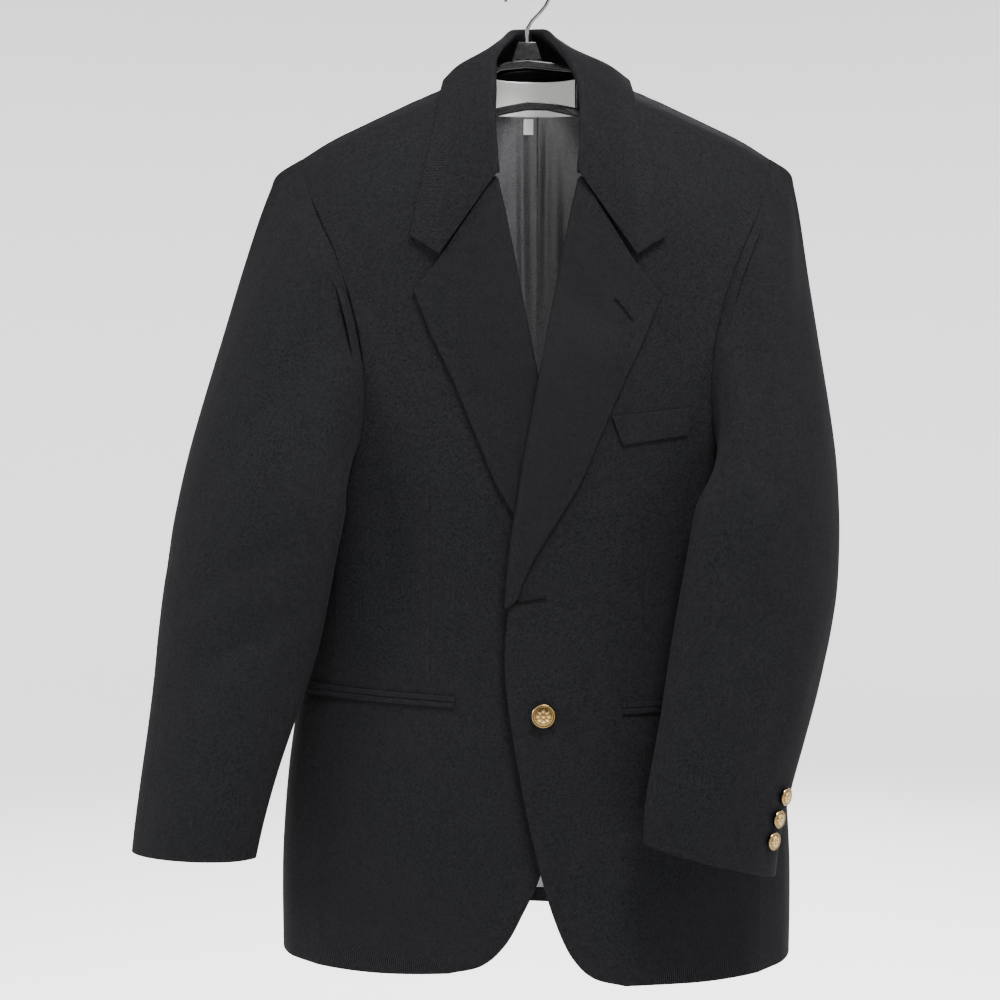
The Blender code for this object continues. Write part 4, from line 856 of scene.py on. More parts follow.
def strip(grid, first, last):
    """Columns first to last of a grid that goes round, with both end columns moved just past the seam."""
    picked = grid[:, [k % grid.shape[1] for k in range(first, last + 1)]].copy()
    ends = (picked[:, 0] + SEAM_HALF * unit(picked[:, 1] - picked[:, 0]),
            picked[:, -1] + SEAM_HALF * unit(picked[:, -2] - picked[:, -1]))
    picked[:, 0], picked[:, -1] = ends
    return picked


# %% [markdown]
# Hanging empty, a sleeve folds from the shoulder point towards the front of the armhole, breaks softly at
# the elbow, and stays smooth at the cuff. Its folds are placed by the turn round the arm, in degrees, which
# are close to millimetres here.

# %% Sleeves with their folds
SLEEVE_FOLDS = {
    -1: table(
        FOLD,
        (44, 186, 104, 345, 9, 6.5), (26, 190, 84, 350, 8, -2.4), (74, 196, 124, 330, 6, 4.0),
        (60, 190, 112, 320, 5, -2.0), (96, 330, 70, 470, 15, 2.4), (140, 500, 60, 560, 13, 2.8),
        (150, 560, 84, 610, 10, 1.9), (20, 520, 60, 545, 12, 1.3), (60, 640, 40, 760, 20, 2.0),
        (300, 250, 265, 400, 14, 3.2), (330, 240, 310, 360, 12, 2.0), (285, 500, 235, 560, 14, 2.6),
        (250, 640, 300, 720, 17, 1.8),
    ),
    1: table(
        FOLD,
        (30, 184, 96, 370, 9, 6.8), (12, 190, 64, 350, 7, -2.6), (62, 190, 118, 345, 7, 4.4),
        (46, 188, 104, 340, 5, -2.2), (84, 330, 118, 480, 11, 3.8), (130, 520, 70, 590, 14, 2.9),
        (60, 600, 96, 640, 11, 1.8), (30, 560, 12, 660, 16, 1.8), (110, 640, 60, 752, 15, 2.3),
        (302, 240, 268, 410, 13, 3.0), (334, 230, 316, 350, 12, 1.9), (280, 520, 240, 580, 15, 2.4),
        (262, 650, 306, 715, 16, 1.6),
    ),
}
PUCKERS, PUCKER_DEPTH = 21, 0.35  # dimples in a whole turn, and how deep they are
PUCKER_END = (215, 250)  # the dimples fade out between these drops
FOLD_START = (172, 215)  # a sleeve's relief grows between these drops


def sleeve_relief(side):
    """The folds of one sleeve, and faint dimples where its head is eased into the armhole."""
    def relief(turn, drop):
        turn = np.mod(turn, 360)
        dimples = PUCKER_DEPTH * np.sin(np.radians(turn * PUCKERS)) * (1 - ease(drop, *PUCKER_END))
        return (troughs(SLEEVE_FOLDS[side], turn, drop) + dimples) * ease(drop, *FOLD_START)
    return relief


def make_sleeve(word, side, sleeve, ring):
    outer, inner = sleeve_grids(side, sleeve, ring)
    count = outer.shape[1]
    around = np.concatenate([RING["turn"] - 360, RING["turn"]])
    for part, first, last in (("top", HIND_SEAM - count, FORE_SEAM), ("under", FORE_SEAM, HIND_SEAM)):
        turns = np.tile(around[count + first:count + last + 1], (len(outer), 1))
        lay_cloth(f"sleeve_{word}_{part}", strip(outer, first, last), strip(inner, first, last), wool,
                  sleeve_relief(side), turns=turns)


# %% [markdown]
# Inside an armhole the seam allowances of body and sleeve are pressed together into a narrow band. It lies
# just under both, so no light shows through the seam.

# %% Armhole seam allowance
BAND = (-8.0, -3.0, 0.0, 3.0, 8.0)  # across the band, from under the body to under the sleeve
BAND_UNDER = 2.7  # how far under the cloth's outer face it lies
BAND_THICK = 1.0


def make_armhole_band(word, side, ring):
    """The ring's points, moved along the body on one side and along the sleeve on the other, and inwards."""
    place, normal, away = (mirrored(np.concatenate([part, part[:1]]), side) for part in ring)
    departs, faces = leaving(normal, away, np.append(RING["leave"], RING["leave"][0]))
    rows = []
    for s in BAND:
        if s < 0:
            way, inward = away, normal
        elif s > 0:
            way, inward = departs, faces
        else:
            way, inward = away * 0, unit(normal + faces)
        rows.append(np.stack([place + way * s - inward * (BAND_UNDER + t) for t in (0, BAND_THICK)]))
    outer, inner = np.stack(rows, 1)
    lay_cloth(f"armhole_band_{word}", outer, inner, wool, held="folded", cell=2.5, node=False)


# %% Cut the panels and sleeves
for side, word in SIDES:
    front_faces = make_front(f"front_{word}", side, EDGES[side], FRONT_HEM_DROP[side])
    side_faces = make_side(f"side_{word}", side, FRONT_HEM_DROP[side])
    back_faces = make_back(f"back_{word}", side)
    armhole = armhole_ring(side, front_faces, side_faces, back_faces)
    make_sleeve(word, side, SLEEVES[side], armhole)
    make_armhole_band(word, side, armhole)


# %% [markdown]
# A lapel is the front's own facing, turned back over the roll line, so its edge near the roll follows an
# arc. The collar rolls over its stand in the same way and lies on the shoulders.

# %% Lapels
ROLL_RADIUS = 2.6  # radius of the cloth's middle round the roll
ROLL_TURNS = (90, 45, 0, -55)  # from above the panel round its edge to just below it
FACING = 2.0  # thickness of lapel and collar cloth
LAPEL_OFF = 1.0  # clear space between a lapel and its front panel
LAPEL_BELLY = 1.2  # the lapel's middle stands this much further off
GORGE_GAP = 2.2  # the lapel's top edge stops this far short of the collar
LAPEL_RISE = (0.6, 1.0)  # the share of the lapel's width over which it rises to its roll
LAPEL_FREE_ROW = {-1: 13, 1: 9}  # above this row a lapel's middle stands off its panel
LAPEL_BELLY_ROWS = 3  # it does so fully from this many rows further up
LAPEL_CELLS = 5  # cells from a lapel's edge to its roll
LAPEL_SHIFT_ROWS = (12, 15)  # the shift down grows over these rows
LAPEL_SHIFT = {-1: (1.0, 0.0), 1: (0.0, 4.0)}  # each lapel's edge further across and down than the table
# Lapel edge: across and drop, from the break up to the gorge's outer end, then the gorge's inner end
LAPEL = table(
    "row edge_across edge_drop",
    (9, -17.5, 553), (10, -6, 524), (11, 13, 492), (12, 34, 457), (13, 52, 414), (14, 65.5, 381),
    (15, 78, 353), (16, 89, 330), (17, 97.5, 309), (18, 103.5, 294.5), (19, 82.5, 267),
)


def make_lapel(name, side, edge):
    rows = LAPEL["row"].astype(int)
    roll_across = edge["across"][rows] + ROLL_TUCK
    roll_drop = edge["drop"][rows]
    point_across = LAPEL["edge_across"] + LAPEL_SHIFT[side][0]
    point_drop = LAPEL["edge_drop"] + LAPEL_SHIFT[side][1] * ease(LAPEL["row"], *LAPEL_SHIFT_ROWS)
    t = np.linspace(0, 1, LAPEL_CELLS + 1)[:, None]
    across = point_across * (1 - t) + roll_across * t
    drop = point_drop * (1 - t) + roll_drop * t
    across, drop = across.T, drop.T
    drop[-1] += GORGE_GAP
    x = side * across
    base = front_out(side, x, drop)
    rise = LAPEL_OFF + FACING / 2 + (ROLL_RADIUS - CLOTH / 2 - LAPEL_OFF) * ease(t.T, *LAPEL_RISE)
    first_free = LAPEL_FREE_ROW[side]
    freed = ease(LAPEL["row"], first_free, first_free + LAPEL_BELLY_ROWS)[:, None]
    rise = rise + LAPEL_BELLY * np.sin(np.pi * t.T) * freed
    half = FACING / 2
    heart = body_point(x[:, -1], drop[:, -1], out=base[:, -1] - CLOTH / 2)
    over = unit(body_point(x[:, -1], drop[:, -1], out=base[:, -1] + 1) - heart)
    nearer = unit(body_point(x[:, -1] - side * 2, drop[:, -1], out=base[:, -1] - CLOTH / 2) - heart)
    faces = []
    for reach in (half, -half):
        rolled = [
            heart + (ROLL_RADIUS + reach) * (nearer * math.cos(a) + over * math.sin(a))
            for a in np.radians(ROLL_TURNS)
        ]
        flat = body_point(x[:, :-1], drop[:, :-1], out=(base + rise)[:, :-1] + reach)
        faces.append(np.concatenate([flat, np.stack(rolled, 1)], 1))
    lay_cloth(name, *faces, wool, front_relief, held="folded", cell=2.5, corners=(len(rows) - 2,))


for side, word in SIDES:
    make_lapel(f"lapel_{word}", side, EDGES[side])


# %% Collar
# Collar stations from the gorge to the centre back: the fold line, the leaf's edge and the neck seam.
# "behind" is 1 where the leaf's edge or the neck seam lies on the back.
COLLAR = table(
    "fold_across fold_y fold_drop leaf_across leaf_drop leaf_behind neck_across neck_drop neck_behind",
    (33, -83, 194, 107, 248, 0, 36, 197, 0),
    (34.8, -80, 178, 103, 228, 0, 38, 182, 0),
    (35.8, -75, 161, 99, 209, 0, 41, 166, 0),
    (36.1, -70, 148, 95, 190, 0, 44.5, 153, 0),
    (36.2, -64, 136, 91, 170, 0, 48, 142, 0),
    (35.8, -58, 122, 87.5, 153, 0, 53, 131, 0),
    (35, -51, 110, 85, 138, 0, 58, 122, 0),
    (33, -44, 98, 83, 122, 0, 64, 114, 0),
    (31, -35, 87, 81, 110, 0, 70, 107, 0),
    (27, -22, 76, 79, 103, 0, 76.7, 101, 0),
    (24, -8, 67, 76, 104.5, 1, 69, 98, 1),
    (19, 11, 57, 66, 107, 1, 54, 90.5, 1),
    (14, 28, 46.5, 48, 103, 1, 35, 80.5, 1),
    (7.5, 41, 41.5, 24, 96, 1, 17, 76, 1),
    (0, 48, 39.5, 0, 92, 1, 0, 75, 1),
)
NOTCH = (82.5, 264.0)  # the notch's inner corner, where the gorge seam ends
LEAF_SHARE = 0.66  # where on the leaf, from its fold, its lower middle points lie
LEAF_BULGE = 5.0  # how far the leaf's middle stands out from a straight line at the neck's back
COLLAR_LEAN = -6.0  # the back of the collar leans to the wearer's right
COLLAR_ROLL = 3.2  # half the width of the collar's fold, less where its stand is low
NECK_GAP = 3.4  # the stand's lower edge stops this far from the neckline
LEAF_OFF = 2.6  # the collar leaf's middle above the panel, at its edge
LEAF_LIFT = 3.2  # its middle near the fold, above the panel
LEAF_UP = 60.0  # how strongly the leaf's outward direction points up
LEAF_AHEAD = 0.4  # how strongly it points forwards where the leaf lies in front
ROLL_AHEAD = np.array([0, -0.5, 0])  # a pull forwards on the roll's outward direction, in front
LEAF_EXTRA = 1.0  # the leaf's lower middle stands this much further off in front
SHOULDER_STATION = 8  # from this station on the leaf lies over the shoulder and the back
BEND_STATIONS = 3  # the notch's bend fades out over this many stations
LEAN_STATIONS = (5, 9)
STAND_SHARE = 0.35  # the most of the stand's height that the roll's half width takes
FRONT_FOLD_Y = -20  # the collar's fold counts as in front when it is this far forwards


def thicken(middle, thickness):
    """Two faces, half the thickness either side of a grid of middle points."""
    across = np.gradient(middle, axis=1)
    along = np.gradient(middle, axis=0)
    normal = unit(np.cross(across, along))
    return middle + normal * thickness / 2, middle - normal * thickness / 2


def collar_station(side, k):
    """The middle points of one collar section, from the leaf's edge over the fold to the neck seam."""
    at = {name: column[k] for name, column in COLLAR.items()}
    lean = COLLAR_LEAN * ease(k, *LEAN_STATIONS)
    fold = np.array([side * at["fold_across"] + lean, at["fold_y"], -at["fold_drop"]])
    leaf_behind, neck_behind = at["leaf_behind"] > 0.5, at["neck_behind"] > 0.5

    def on_body(across, drop, behind, out):
        return body_point(side * across, drop, behind, out)

    leaf = on_body(at["leaf_across"], at["leaf_drop"], leaf_behind, LEAF_OFF + CLOTH / 2)
    neck_in = on_body(at["neck_across"], at["neck_drop"], neck_behind, -CLOTH / 2)
    stand_way = unit(fold - neck_in)
    neck = neck_in + stand_way * NECK_GAP
    # A place on the leaf near the notch: the front end bends there, and the other sections ease away from it.
    bend = max(0.0, 1 - k / BEND_STATIONS)
    plain_across = at["fold_across"] + (at["leaf_across"] - at["fold_across"]) * LEAF_SHARE
    plain_drop = at["fold_drop"] + (at["leaf_drop"] - at["fold_drop"]) * LEAF_SHARE
    mid_across = plain_across + (NOTCH[0] - plain_across) * bend
    mid_drop = plain_drop + (NOTCH[1] - plain_drop) * bend
    straight = fold + (leaf - fold) * LEAF_SHARE
    ahead = straight[1] if leaf_behind else -abs(straight[1]) * LEAF_AHEAD
    out_way = unit(np.array([straight[0], ahead, LEAF_UP]))
    if leaf_behind or k >= SHOULDER_STATION:
        near_leaf = straight + out_way * LEAF_BULGE
        on_cloth = on_body(side * near_leaf[0], -near_leaf[2], leaf_behind, LEAF_OFF + CLOTH)
        if abs(near_leaf[1]) < abs(on_cloth[1]):
            near_leaf = on_cloth
        near_fold = fold + (leaf - fold) * LEAF_SHARE / 2 + out_way * LEAF_BULGE
    else:
        near_leaf = on_body(mid_across, mid_drop, False, LEAF_OFF + CLOTH / 2 + LEAF_EXTRA)
        near_fold = (fold + near_leaf) / 2
        lifted = on_body(near_fold[0] * side, -near_fold[2], False, LEAF_OFF + LEAF_LIFT)
        near_fold[1] = min(near_fold[1], lifted[1])
    return fold, leaf, near_leaf, near_fold, neck, out_way


def make_collar():
    count = len(COLLAR["fold_y"])
    order = [(-1, k) for k in range(count)] + [(1, k) for k in range(count - 2, -1, -1)]
    stations = [collar_station(side, k) for side, k in order]
    folds = np.stack([s[0] for s in stations])
    along = unit(np.gradient(folds, axis=0))
    sections = []
    for (fold, leaf, near_leaf, near_fold, neck, out_way), path in zip(stations, along):
        down = unit((near_fold + neck) / 2 - fold)
        over = turned_to(unit(np.cross(down, path)), out_way + ROLL_AHEAD * (fold[1] < FRONT_FOLD_Y))
        roll = np.clip(STAND_SHARE * np.linalg.norm(neck - fold), COLLAR_ROLL / 2, COLLAR_ROLL)
        heart = fold + down * roll
        rolled = [heart + over * roll, fold, heart - over * roll]
        stand_middle = (rolled[2] + neck) / 2
        sections.append([leaf, near_leaf, near_fold, *rolled, stand_middle, neck])
    middle = np.array(sections)
    outer, inner = thicken(middle, FACING)
    lay_cloth("collar", outer, inner, wool, held="folded", cell=2.5, square=True)


make_collar()

# %% [markdown]
# Jetted pockets are two narrow folded strips with a slit between them, and the breast pocket has a single
# slanted welt. All of them lie on their panel, so they are made from its points, moved out.

# %% Pockets
POCKET_INNER, POCKET_OUTER = 70.0, 196.0  # the slit's ends across
POCKET_DROP = {-1: (640.0, 632.0), 1: (644.5, 641.0)}  # slit drop at its inner and outer end
SLIT_HALF = 0.25  # half the slit's width
JET = 4.6  # height of one jet
WELT = ((70, 424.5), (126.5, 415.5), (127, 392.5), (60.5, 400.5))
TRIM_LOW, TRIM_HIGH = 0.5, 1.9  # a trim's faces above the panel's


def surface_strip(side, corners, rows, columns, low, high, back=False):
    """Two faces of a strip that lies on a panel: corners are (across, drop), clockwise from low inner."""
    s = np.linspace(0, 1, rows + 1)[:, None]
    t = np.linspace(0, 1, columns + 1)[None, :]
    a, b, c, d = np.array(corners, float)
    grid = [(a[i] * (1 - t) + b[i] * t) * (1 - s) + (d[i] * (1 - t) + c[i] * t) * s for i in (0, 1)]
    x, drop = side * grid[0], grid[1]
    return two_faces(x, drop, 0.0 if back else front_out(side, x, drop), high, low, back)


def make_pockets():
    for side, word in SIDES:
        inner_drop, outer_drop = POCKET_DROP[side]
        for part, sign in (("upper", -1), ("lower", 1)):
            near, far = sign * SLIT_HALF, sign * (SLIT_HALF + JET)
            corners = ((POCKET_INNER, inner_drop + far), (POCKET_OUTER, outer_drop + far),
                       (POCKET_OUTER, outer_drop + near), (POCKET_INNER, inner_drop + near))
            outer, inner = surface_strip(side, corners, 1, 12, TRIM_LOW, TRIM_HIGH)
            lay_cloth(f"pocket_{word}_{part}_jet", outer, inner, wool, front_relief, "laid")
    outer, inner = surface_strip(1, WELT, 2, 6, TRIM_LOW, TRIM_HIGH)
    lay_cloth("breast_welt", outer, inner, wool, front_relief, "laid")


make_pockets()

# %% [markdown]
# The lining hangs loose inside, in soft vertical folds, with a pleat at the centre back that gives room to
# move. Satin shows folds mostly by its shine, so they are shallow.

# %% Lining and labels
LINING_FOLDS = table(
    FOLD,
    (-12, 100, -9, 420, 4.5, -2.2), (-22, 130, -30, 520, 6, -1.8), (-38, 120, -50, 600, 8, -1.5),
    (12, 112, 10, 330, 4, -1.6), (20, 125, 24, 560, 6, -2.0), (33, 150, 40, 500, 6, -1.3),
    (60, 180, 66, 700, 11, -1.8), (-72, 190, -84, 720, 12, -1.9), (95, 240, 92, 800, 14, -1.4),
    (-100, 250, -112, 780, 13, -1.6), (-6, 440, -14, 830, 7, -1.4), (14, 560, 6, 835, 6, -1.6),
)


def lining_relief(x, drop):
    """Folds stand towards the wearer, so the sign is turned over."""
    return -np.maximum(troughs(LINING_FOLDS, x, drop), 0)


PLEAT_ACROSS = 3.0  # the lining's centre pleat lies this far to the wearer's left of the back seam
LINING_OFF = 4.2  # the lining's outer face inside the back's outer face
LINING_CELLS = 6  # cells from the lining's centre pleat to its outer edge
LINING_OUTLINE = table(
    "centre_drop outer_across outer_drop",
    (836, 130, 838), (780, 130, 780), (720, 130, 720), (650, 130, 650), (580, 130, 580), (510, 130, 510),
    (440, 130, 440), (370, 130, 370), (300, 128, 310), (240, 118, 255), (190, 104, 210), (150, 88, 172),
    (115, 74, 142), (82, 58, 118),
)
LABEL = ((-40, 112), (40, 112), (40, 82), (-40, 82))
TAB = ((-10.5, 128), (-1, 128), (-1, 113.5), (-10.5, 113.5))
LABEL_GAP, TAB_GAP = 1.7, 0.9  # between the lining and a label's outer face
LABEL_OFF = LINING_OFF + LINING + LABEL_GAP
TAB_OFF = LINING_OFF + LINING + TAB_GAP
LABEL_THICK = 0.8


def make_lining():
    t = np.linspace(0, 1, LINING_CELLS + 1)[None, :]
    for side, word in SIDES:
        centre = side * PLEAT_ACROSS + SEAM_HALF
        across = centre + (LINING_OUTLINE["outer_across"][:, None] - centre) * t
        drop = LINING_OUTLINE["centre_drop"][:, None] * (1 - t) + LINING_OUTLINE["outer_drop"][:, None] * t
        outer, inner = two_faces(side * across, drop, -LINING_OFF, low=-LINING, back=True)
        lay_cloth(f"lining_{word}", outer, inner, satin, lining_relief)


def make_labels():
    for name, corners, columns, off in (("neck_label", LABEL, 8, LABEL_OFF), ("neck_tab", TAB, 2, TAB_OFF)):
        outer, inner = surface_strip(1, corners, 3, columns, -off, -off - LABEL_THICK, True)
        lay_cloth(name, outer, inner, woven, held="laid", cell=2.0)


make_lining()
make_labels()

# %% [markdown]
# Buttonholes are slits with silk twist wound round them. Each is a closed loop of thread that swells and
# thins with every turn, and it rests on the fine points of the piece that it is sewn in.

# %% Buttonholes
THREAD = 0.5  # radius of the wound edge
THREAD_OUT = 0.4  # the share of that radius by which its middle stands off the cloth
THREAD_SIDES = 8
TURN_PITCH = 1.1  # length of one turn of the winding
TURN_POINTS = 6  # rings of points in one turn
TURN_SWELL = 0.3  # how much the edge swells and thins in a turn, as a share of its radius
SLIT_ROUND = 0.7  # radius of a buttonhole's ends
REST_SPREAD = 6.0  # how widely rest_on blends the cloth's points, in square millimetres


def rest_on(piece, x, drop):
    """Points and outward directions on a piece's outer face, blended from its nearest fine points."""
    outer, out = (field.reshape(-1, 3) for field in CLOTH_FACES[piece])
    apart = (outer[None, :, 0] - x[:, None]) ** 2 + (outer[None, :, 2] + drop[:, None]) ** 2
    weight = np.exp(-apart / REST_SPREAD)
    weight = weight / weight.sum(1, keepdims=True)
    return weight @ outer, unit(weight @ out)


def make_buttonhole(name, piece, start, end):
    """A tube along a racetrack: two straights and two half circles, with a sine ripple on its radius."""
    start, end = np.array(start, float), np.array(end, float)
    length = np.linalg.norm(end - start)
    way = (end - start) / length
    side_way = np.array([-way[1], way[0]])
    perimeter = 2 * length + 2 * math.pi * SLIT_ROUND
    turns = round(perimeter / TURN_PITCH)
    count = turns * TURN_POINTS
    s = np.arange(count) / count * perimeter
    arc = math.pi * SLIT_ROUND
    near = np.clip(s, 0, length) - np.clip(s - length - arc, 0, length)
    angle = np.clip((s - length) / arc, 0, 1) + np.clip((s - 2 * length - arc) / arc, 0, 1)
    lean = -np.cos(angle * math.pi) * SLIT_ROUND
    bulge = np.sin(angle * math.pi) * SLIT_ROUND
    flat = start + way * (near + bulge)[:, None] + side_way * lean[:, None]
    place, out = rest_on(piece, flat[:, 0], flat[:, 1])
    along = unit(np.roll(place, -1, 0) - np.roll(place, 1, 0))
    beside = unit(np.cross(along, out))
    around = np.linspace(0, 2 * math.pi, THREAD_SIDES, endpoint=False)
    radius = THREAD * (1 + TURN_SWELL * np.sin(2 * math.pi * s / perimeter * turns))[:, None, None]
    ring = beside[:, None] * np.cos(around)[:, None] + out[:, None] * np.sin(around)[:, None]
    verts = (place + out * THREAD * THREAD_OUT)[:, None] + ring * radius
    number = np.arange(count * THREAD_SIDES).reshape(count, THREAD_SIDES)
    ahead, beyond = np.roll(number, -1, 0), np.roll(number, -1, 1)
    faces = np.stack([number, beyond, np.roll(ahead, -1, 1), ahead], -1).reshape(-1, 4)
    uv = np.stack([np.broadcast_to(around, number.shape), np.broadcast_to(s[:, None], number.shape)], -1)
    obj = put_mesh(name, verts, faces, twist, uv.reshape(-1, 2))
    fix_faces(obj)


def fix_faces(obj):
    """Turns a closed mesh's faces outwards."""
    cage = bmesh.new()
    cage.from_mesh(obj.data)
    bmesh.ops.remove_doubles(cage, verts=cage.verts, dist=1e-7)
    bmesh.ops.recalc_face_normals(cage, faces=cage.faces)
    cage.to_mesh(obj.data)
    cage.free()


make_buttonhole("lapel_buttonhole", "lapel_left", (64.4, 301.6), (78.6, 319.2))
make_buttonhole("front_buttonhole", "front_left", (-17.6, 556.0), (5.4, 552.6))

# %% [markdown]
# A stamped button is a turned profile whose face carries relief. Radius and angle are a grid too: ropework
# round the rim, a ring of beads and a plain rosette are sums of bells and waves in that grid.

# %% Buttons
# Button profiles: radius and height, from the top centre down to the bottom centre
FRONT_BUTTON = (
    (0, 5.0), (4.2, 4.7), (7.4, 3.9), (8.4, 3.5), (9.3, 3.9), (10.1, 3.2), (10.1, 1.8), (8.6, 0), (0, 0),
)
SLEEVE_BUTTON = ((0, 4.0), (3.4, 3.7), (5.8, 2.9), (7.0, 3.0), (7.5, 2.2), (6.6, 0), (0, 0))
FLAT_BUTTON = ((0, 2.6), (9, 2.6), (10, 1.8), (10, 0.8), (9, 0), (0, 0))
BUTTON_PLACE = (4.0, 650.0)  # across and drop
UPPER_BUTTON_PLACE = (0.0, 557.0)
PROFILE_STEPS = 58  # places along a button's profile, with both of its ends
SPOKES = 96  # points round a button or the floor
FRONT_RELIEF, SLEEVE_RELIEF = 0.45, 0.35  # heights of the stamped relief
FRONT_BUTTON_OFF, UPPER_BUTTON_OFF = 0.4, 0.5  # clear space under each
SLEEVE_BUTTON_DROPS = {1: (703, 720, 737), -1: (712, 730, 748)}
SLEEVE_BUTTON_OFF = {1: 0.9, -1: 0.1}  # clear space under them
SLEEVE_BUTTON_TURN = {1: 18.0, -1: -24.0}  # their turn round the arm in degrees


def sleeve_place(sleeve, side, turn, drop):
    """A point on the arm's outer face and its normal, in the garment's frame."""
    place = sleeve_section(sleeve, turn, drop)
    around = sleeve_section(sleeve, turn + 1, drop) - sleeve_section(sleeve, turn - 1, drop)
    down = sleeve_section(sleeve, turn, drop + 1) - sleeve_section(sleeve, turn, drop - 1)
    middle = (sleeve_section(sleeve, 0, drop) + sleeve_section(sleeve, 180, drop)) / 2
    normal = turned_to(unit(np.cross(around, down)), place - middle)
    return mirrored(place, side), mirrored(normal, side)


def bell(x, middle, width):
    return np.exp(-(((x - middle) / width) ** 2))


def button_relief(share, angle):
    """Rope at the rim, beads inside it, and an eight-leaved rosette; share is the radius over the whole."""
    rope = bell(share, 0.93, 0.05) * (0.5 + 0.5 * np.sin(34 * angle + 30 * share))
    beads = bell(share, 0.76, 0.04) * (0.5 + 0.5 * np.cos(26 * angle))
    leaves = bell(share, 0.42, 0.17) * np.abs(np.cos(4 * angle)) ** 0.7
    heart = bell(share, 0.0, 0.13)
    return 0.75 * rope + 0.6 * beads + 0.9 * leaves + heart


def round_faces(number):
    """Faces between rings of points, from the grid of their numbers."""
    beyond = np.roll(number, -1, 1)
    return np.stack([number[:-1], number[1:], beyond[1:], beyond[:-1]], -1).reshape(-1, 4).tolist()


def make_button(name, profile, place, normal, height, plain=False):
    """Rings of points down the profile, raised by the relief on the face, closed by a fan at both ends."""
    profile = np.array(profile, float)
    run = np.pad(np.cumsum(np.linalg.norm(np.diff(profile, axis=0), axis=1)), (1, 0))
    at = np.linspace(0, run[-1], PROFILE_STEPS)[1:-1]
    radius, level = np.interp(at, run, profile[:, 0]), np.interp(at, run, profile[:, 1])
    angle = np.linspace(0, 2 * math.pi, SPOKES, endpoint=False)
    face = (at < run[np.argmax(profile[:, 0])]).astype(float)[:, None]
    share = (radius / profile[:, 0].max())[:, None]
    stands = np.zeros((len(at), SPOKES)) if plain else button_relief(share, angle[None, :]) * face
    z = level[:, None] + height * stands
    e1 = unit(np.cross((0, 0, 1.0), normal))
    e2 = np.cross(normal, e1)
    rings = (place + radius[:, None, None] * (np.cos(angle)[:, None] * e1 + np.sin(angle)[:, None] * e2)
             + z[..., None] * normal)
    ends = place + normal * (profile[0, 1] + (0 if plain else height)), place + normal * profile[-1, 1]
    number = np.arange(len(at) * SPOKES).reshape(-1, SPOKES)
    faces = round_faces(number)
    top, bottom = number.size, number.size + 1
    faces += [[top, a, b] for a, b in zip(number[0], np.roll(number[0], -1))]
    faces += [[bottom, b, a] for a, b in zip(number[-1], np.roll(number[-1], -1))]
    obj = put_mesh(name, np.concatenate([rings.reshape(-1, 3), *(e[None] for e in ends)]), faces, brass)
    # Painted shade: the relief that stands up gets a high value and a pale colour, and hollows, plain faces
    # and sides get a low one and a dark brown.
    painted_relief_shade = np.append(0.25 + 0.75 * np.clip(stands.ravel(), 0, 1), (1, 0.4))
    obj.data.attributes.new("raised", "FLOAT", "POINT").data.foreach_set("value", painted_relief_shade.astype(np.float32))
    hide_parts(name)


for name, profile, (x, drop), over, plain in (
    ("front_button", FRONT_BUTTON, BUTTON_PLACE, LAP_LIFT + FRONT_BUTTON_OFF, False),
    ("front_button_upper", FLAT_BUTTON, UPPER_BUTTON_PLACE, UPPER_BUTTON_OFF, True),
):
    lifted = over + float(front_relief(np.array([x]), np.array([drop]))[0])
    place = body_point(x, drop, out=lifted)
    normal = unit(body_point(x, drop, out=lifted + 1) - place)
    make_button(name, profile, place, normal, FRONT_RELIEF, plain)
for side, word in SIDES:
    for number, drop in enumerate(SLEEVE_BUTTON_DROPS[side], 1):
        place, normal = sleeve_place(SLEEVES[side], side, SLEEVE_BUTTON_TURN[side], float(drop))
        place = place + normal * SLEEVE_BUTTON_OFF[side]
        make_button(f"sleeve_button_{word}_{number}", SLEEVE_BUTTON, place, normal, SLEEVE_RELIEF)


# %% [markdown]
# The hanger's own solid has the right form, but a moulding never has a sharp edge. A copy of its body and
# of its marker gets its loose triangles joined and its edges bevelled; the hook keeps its own mesh.

# %% Hanger
def moulded(node, width):
    """A rounded copy of a CAD node: merged, its flat faces joined, its sharp edges bevelled."""
    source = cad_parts[node]
    mesh = source.data.copy()
    cage = bmesh.new()
    cage.from_mesh(mesh)
    bmesh.ops.remove_doubles(cage, verts=cage.verts, dist=1e-6)
    bmesh.ops.dissolve_limit(cage, angle_limit=math.radians(2), verts=cage.verts, edges=cage.edges)
    sharp = [edge for edge in cage.edges if edge.calc_face_angle(0) > math.radians(40)]
    bmesh.ops.bevel(cage, geom=sharp, offset=width * MM, segments=3, profile=0.5, affect="EDGES")
    bmesh.ops.triangulate(cage, faces=[face for face in cage.faces if len(face.verts) > 4])
    bmesh.ops.recalc_face_normals(cage, faces=cage.faces)
    cage.to_mesh(mesh)
    cage.free()
    mesh.shade_smooth()
    mesh.set_sharp_from_angle(angle=math.radians(35))
    mesh.materials.clear()
    mesh.materials.append(plastic)
    obj = new_object(f"moulded_{node}", mesh)
    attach(obj, "root")
    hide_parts(node)


moulded("hanger_body", 1.0)
moulded("hanger_marker", 0.8)
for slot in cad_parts["hanger_hook"].material_slots:
    slot.material = chrome


# %% [markdown]
# The garment hangs in the air before a pale studio sweep: a floor whose rim rises out of sight, so that no
# horizon shows. Large soft lights stand above and to both sides.

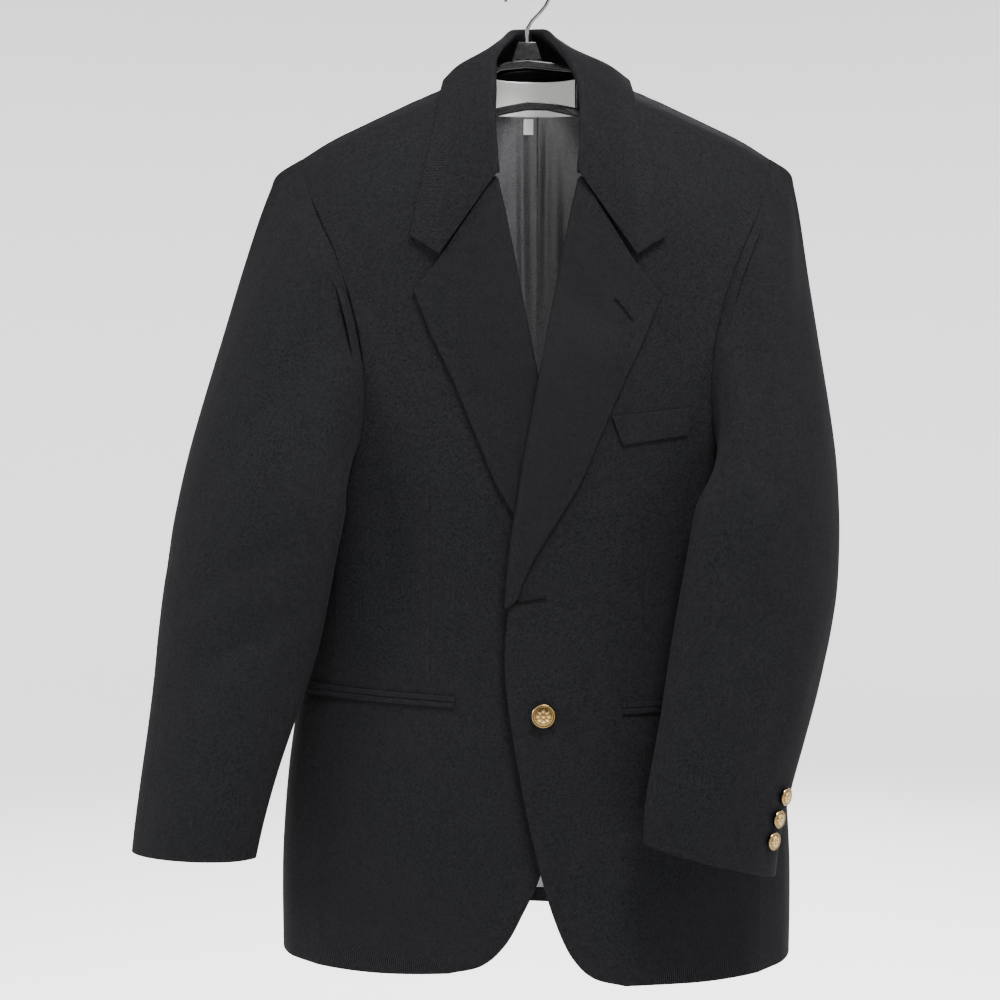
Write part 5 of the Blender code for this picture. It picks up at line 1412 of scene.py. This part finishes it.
# %% Floor and lights
FLOOR_RINGS = 60
FLOOR_HOLE, FLOOR_FLAT, FLOOR_END = 0.05, 3.2, 9  # radii in metres: the first ring, the flat part, the rim
FLOOR_LEVEL, FLOOR_RISE = -1.25, 5.0  # metres below the hook, and how far the rim rises from there


def make_floor():
    """A round floor of rings and spokes; beyond its flat middle its height rises with an eased curve."""
    radius = np.linspace(FLOOR_HOLE, FLOOR_END, FLOOR_RINGS)
    angle = np.linspace(0, 2 * math.pi, SPOKES, endpoint=False)
    height = FLOOR_LEVEL + FLOOR_RISE * ease(radius, FLOOR_FLAT, FLOOR_END) ** 1.3
    rings = np.stack([radius[:, None] * np.cos(angle), radius[:, None] * np.sin(angle),
                      np.broadcast_to(height[:, None], (FLOOR_RINGS, SPOKES))], -1)
    number = np.arange(FLOOR_RINGS * SPOKES).reshape(FLOOR_RINGS, SPOKES)
    faces = round_faces(number)
    faces.append(number[0].tolist())
    mesh = bpy.data.meshes.new("floor")
    mesh.from_pydata(rings.reshape(-1, 3).tolist(), [], faces)
    mesh.shade_smooth()
    paper, shader = begin("white background paper, lit through", Roughness=0.9, Emission_Strength=0.8)
    shader.inputs["Base Color"].default_value = linear("#FAFAFA")
    shader.inputs["Emission Color"].default_value = linear("#FFFFFF")
    mesh.materials.append(paper)
    new_object("floor", mesh)


def make_light(name, place, target, size, watts):
    light = bpy.data.lights.new(name, "AREA")
    light.shape = "SQUARE"
    light.size = size
    light.energy = watts
    obj = new_object(name, light)
    obj.location = place
    obj.rotation_euler = (Vector(target) - Vector(place)).to_track_quat("-Z", "Y").to_euler()


make_floor()
make_light("soft light above", (0.5, -1.2, 1.9), (0, 0, -0.35), 0.9, 300)
make_light("soft light left", (-2.4, -0.7, 0.3), (0, 0, -0.45), 0.9, 110)
make_light("soft light right", (2.4, -0.6, 0.2), (0, 0, -0.45), 0.9, 45)
make_light("soft light behind", (0.6, 2.4, 0.9), (0, 0, -0.4), 1.6, 70)
world = bpy.data.worlds.new("studio")
world.use_nodes = True
world.node_tree.nodes["Background"].inputs[0].default_value = linear("#FFFFFF")
world.node_tree.nodes["Background"].inputs[1].default_value = 0.12
bpy.context.scene.world = world
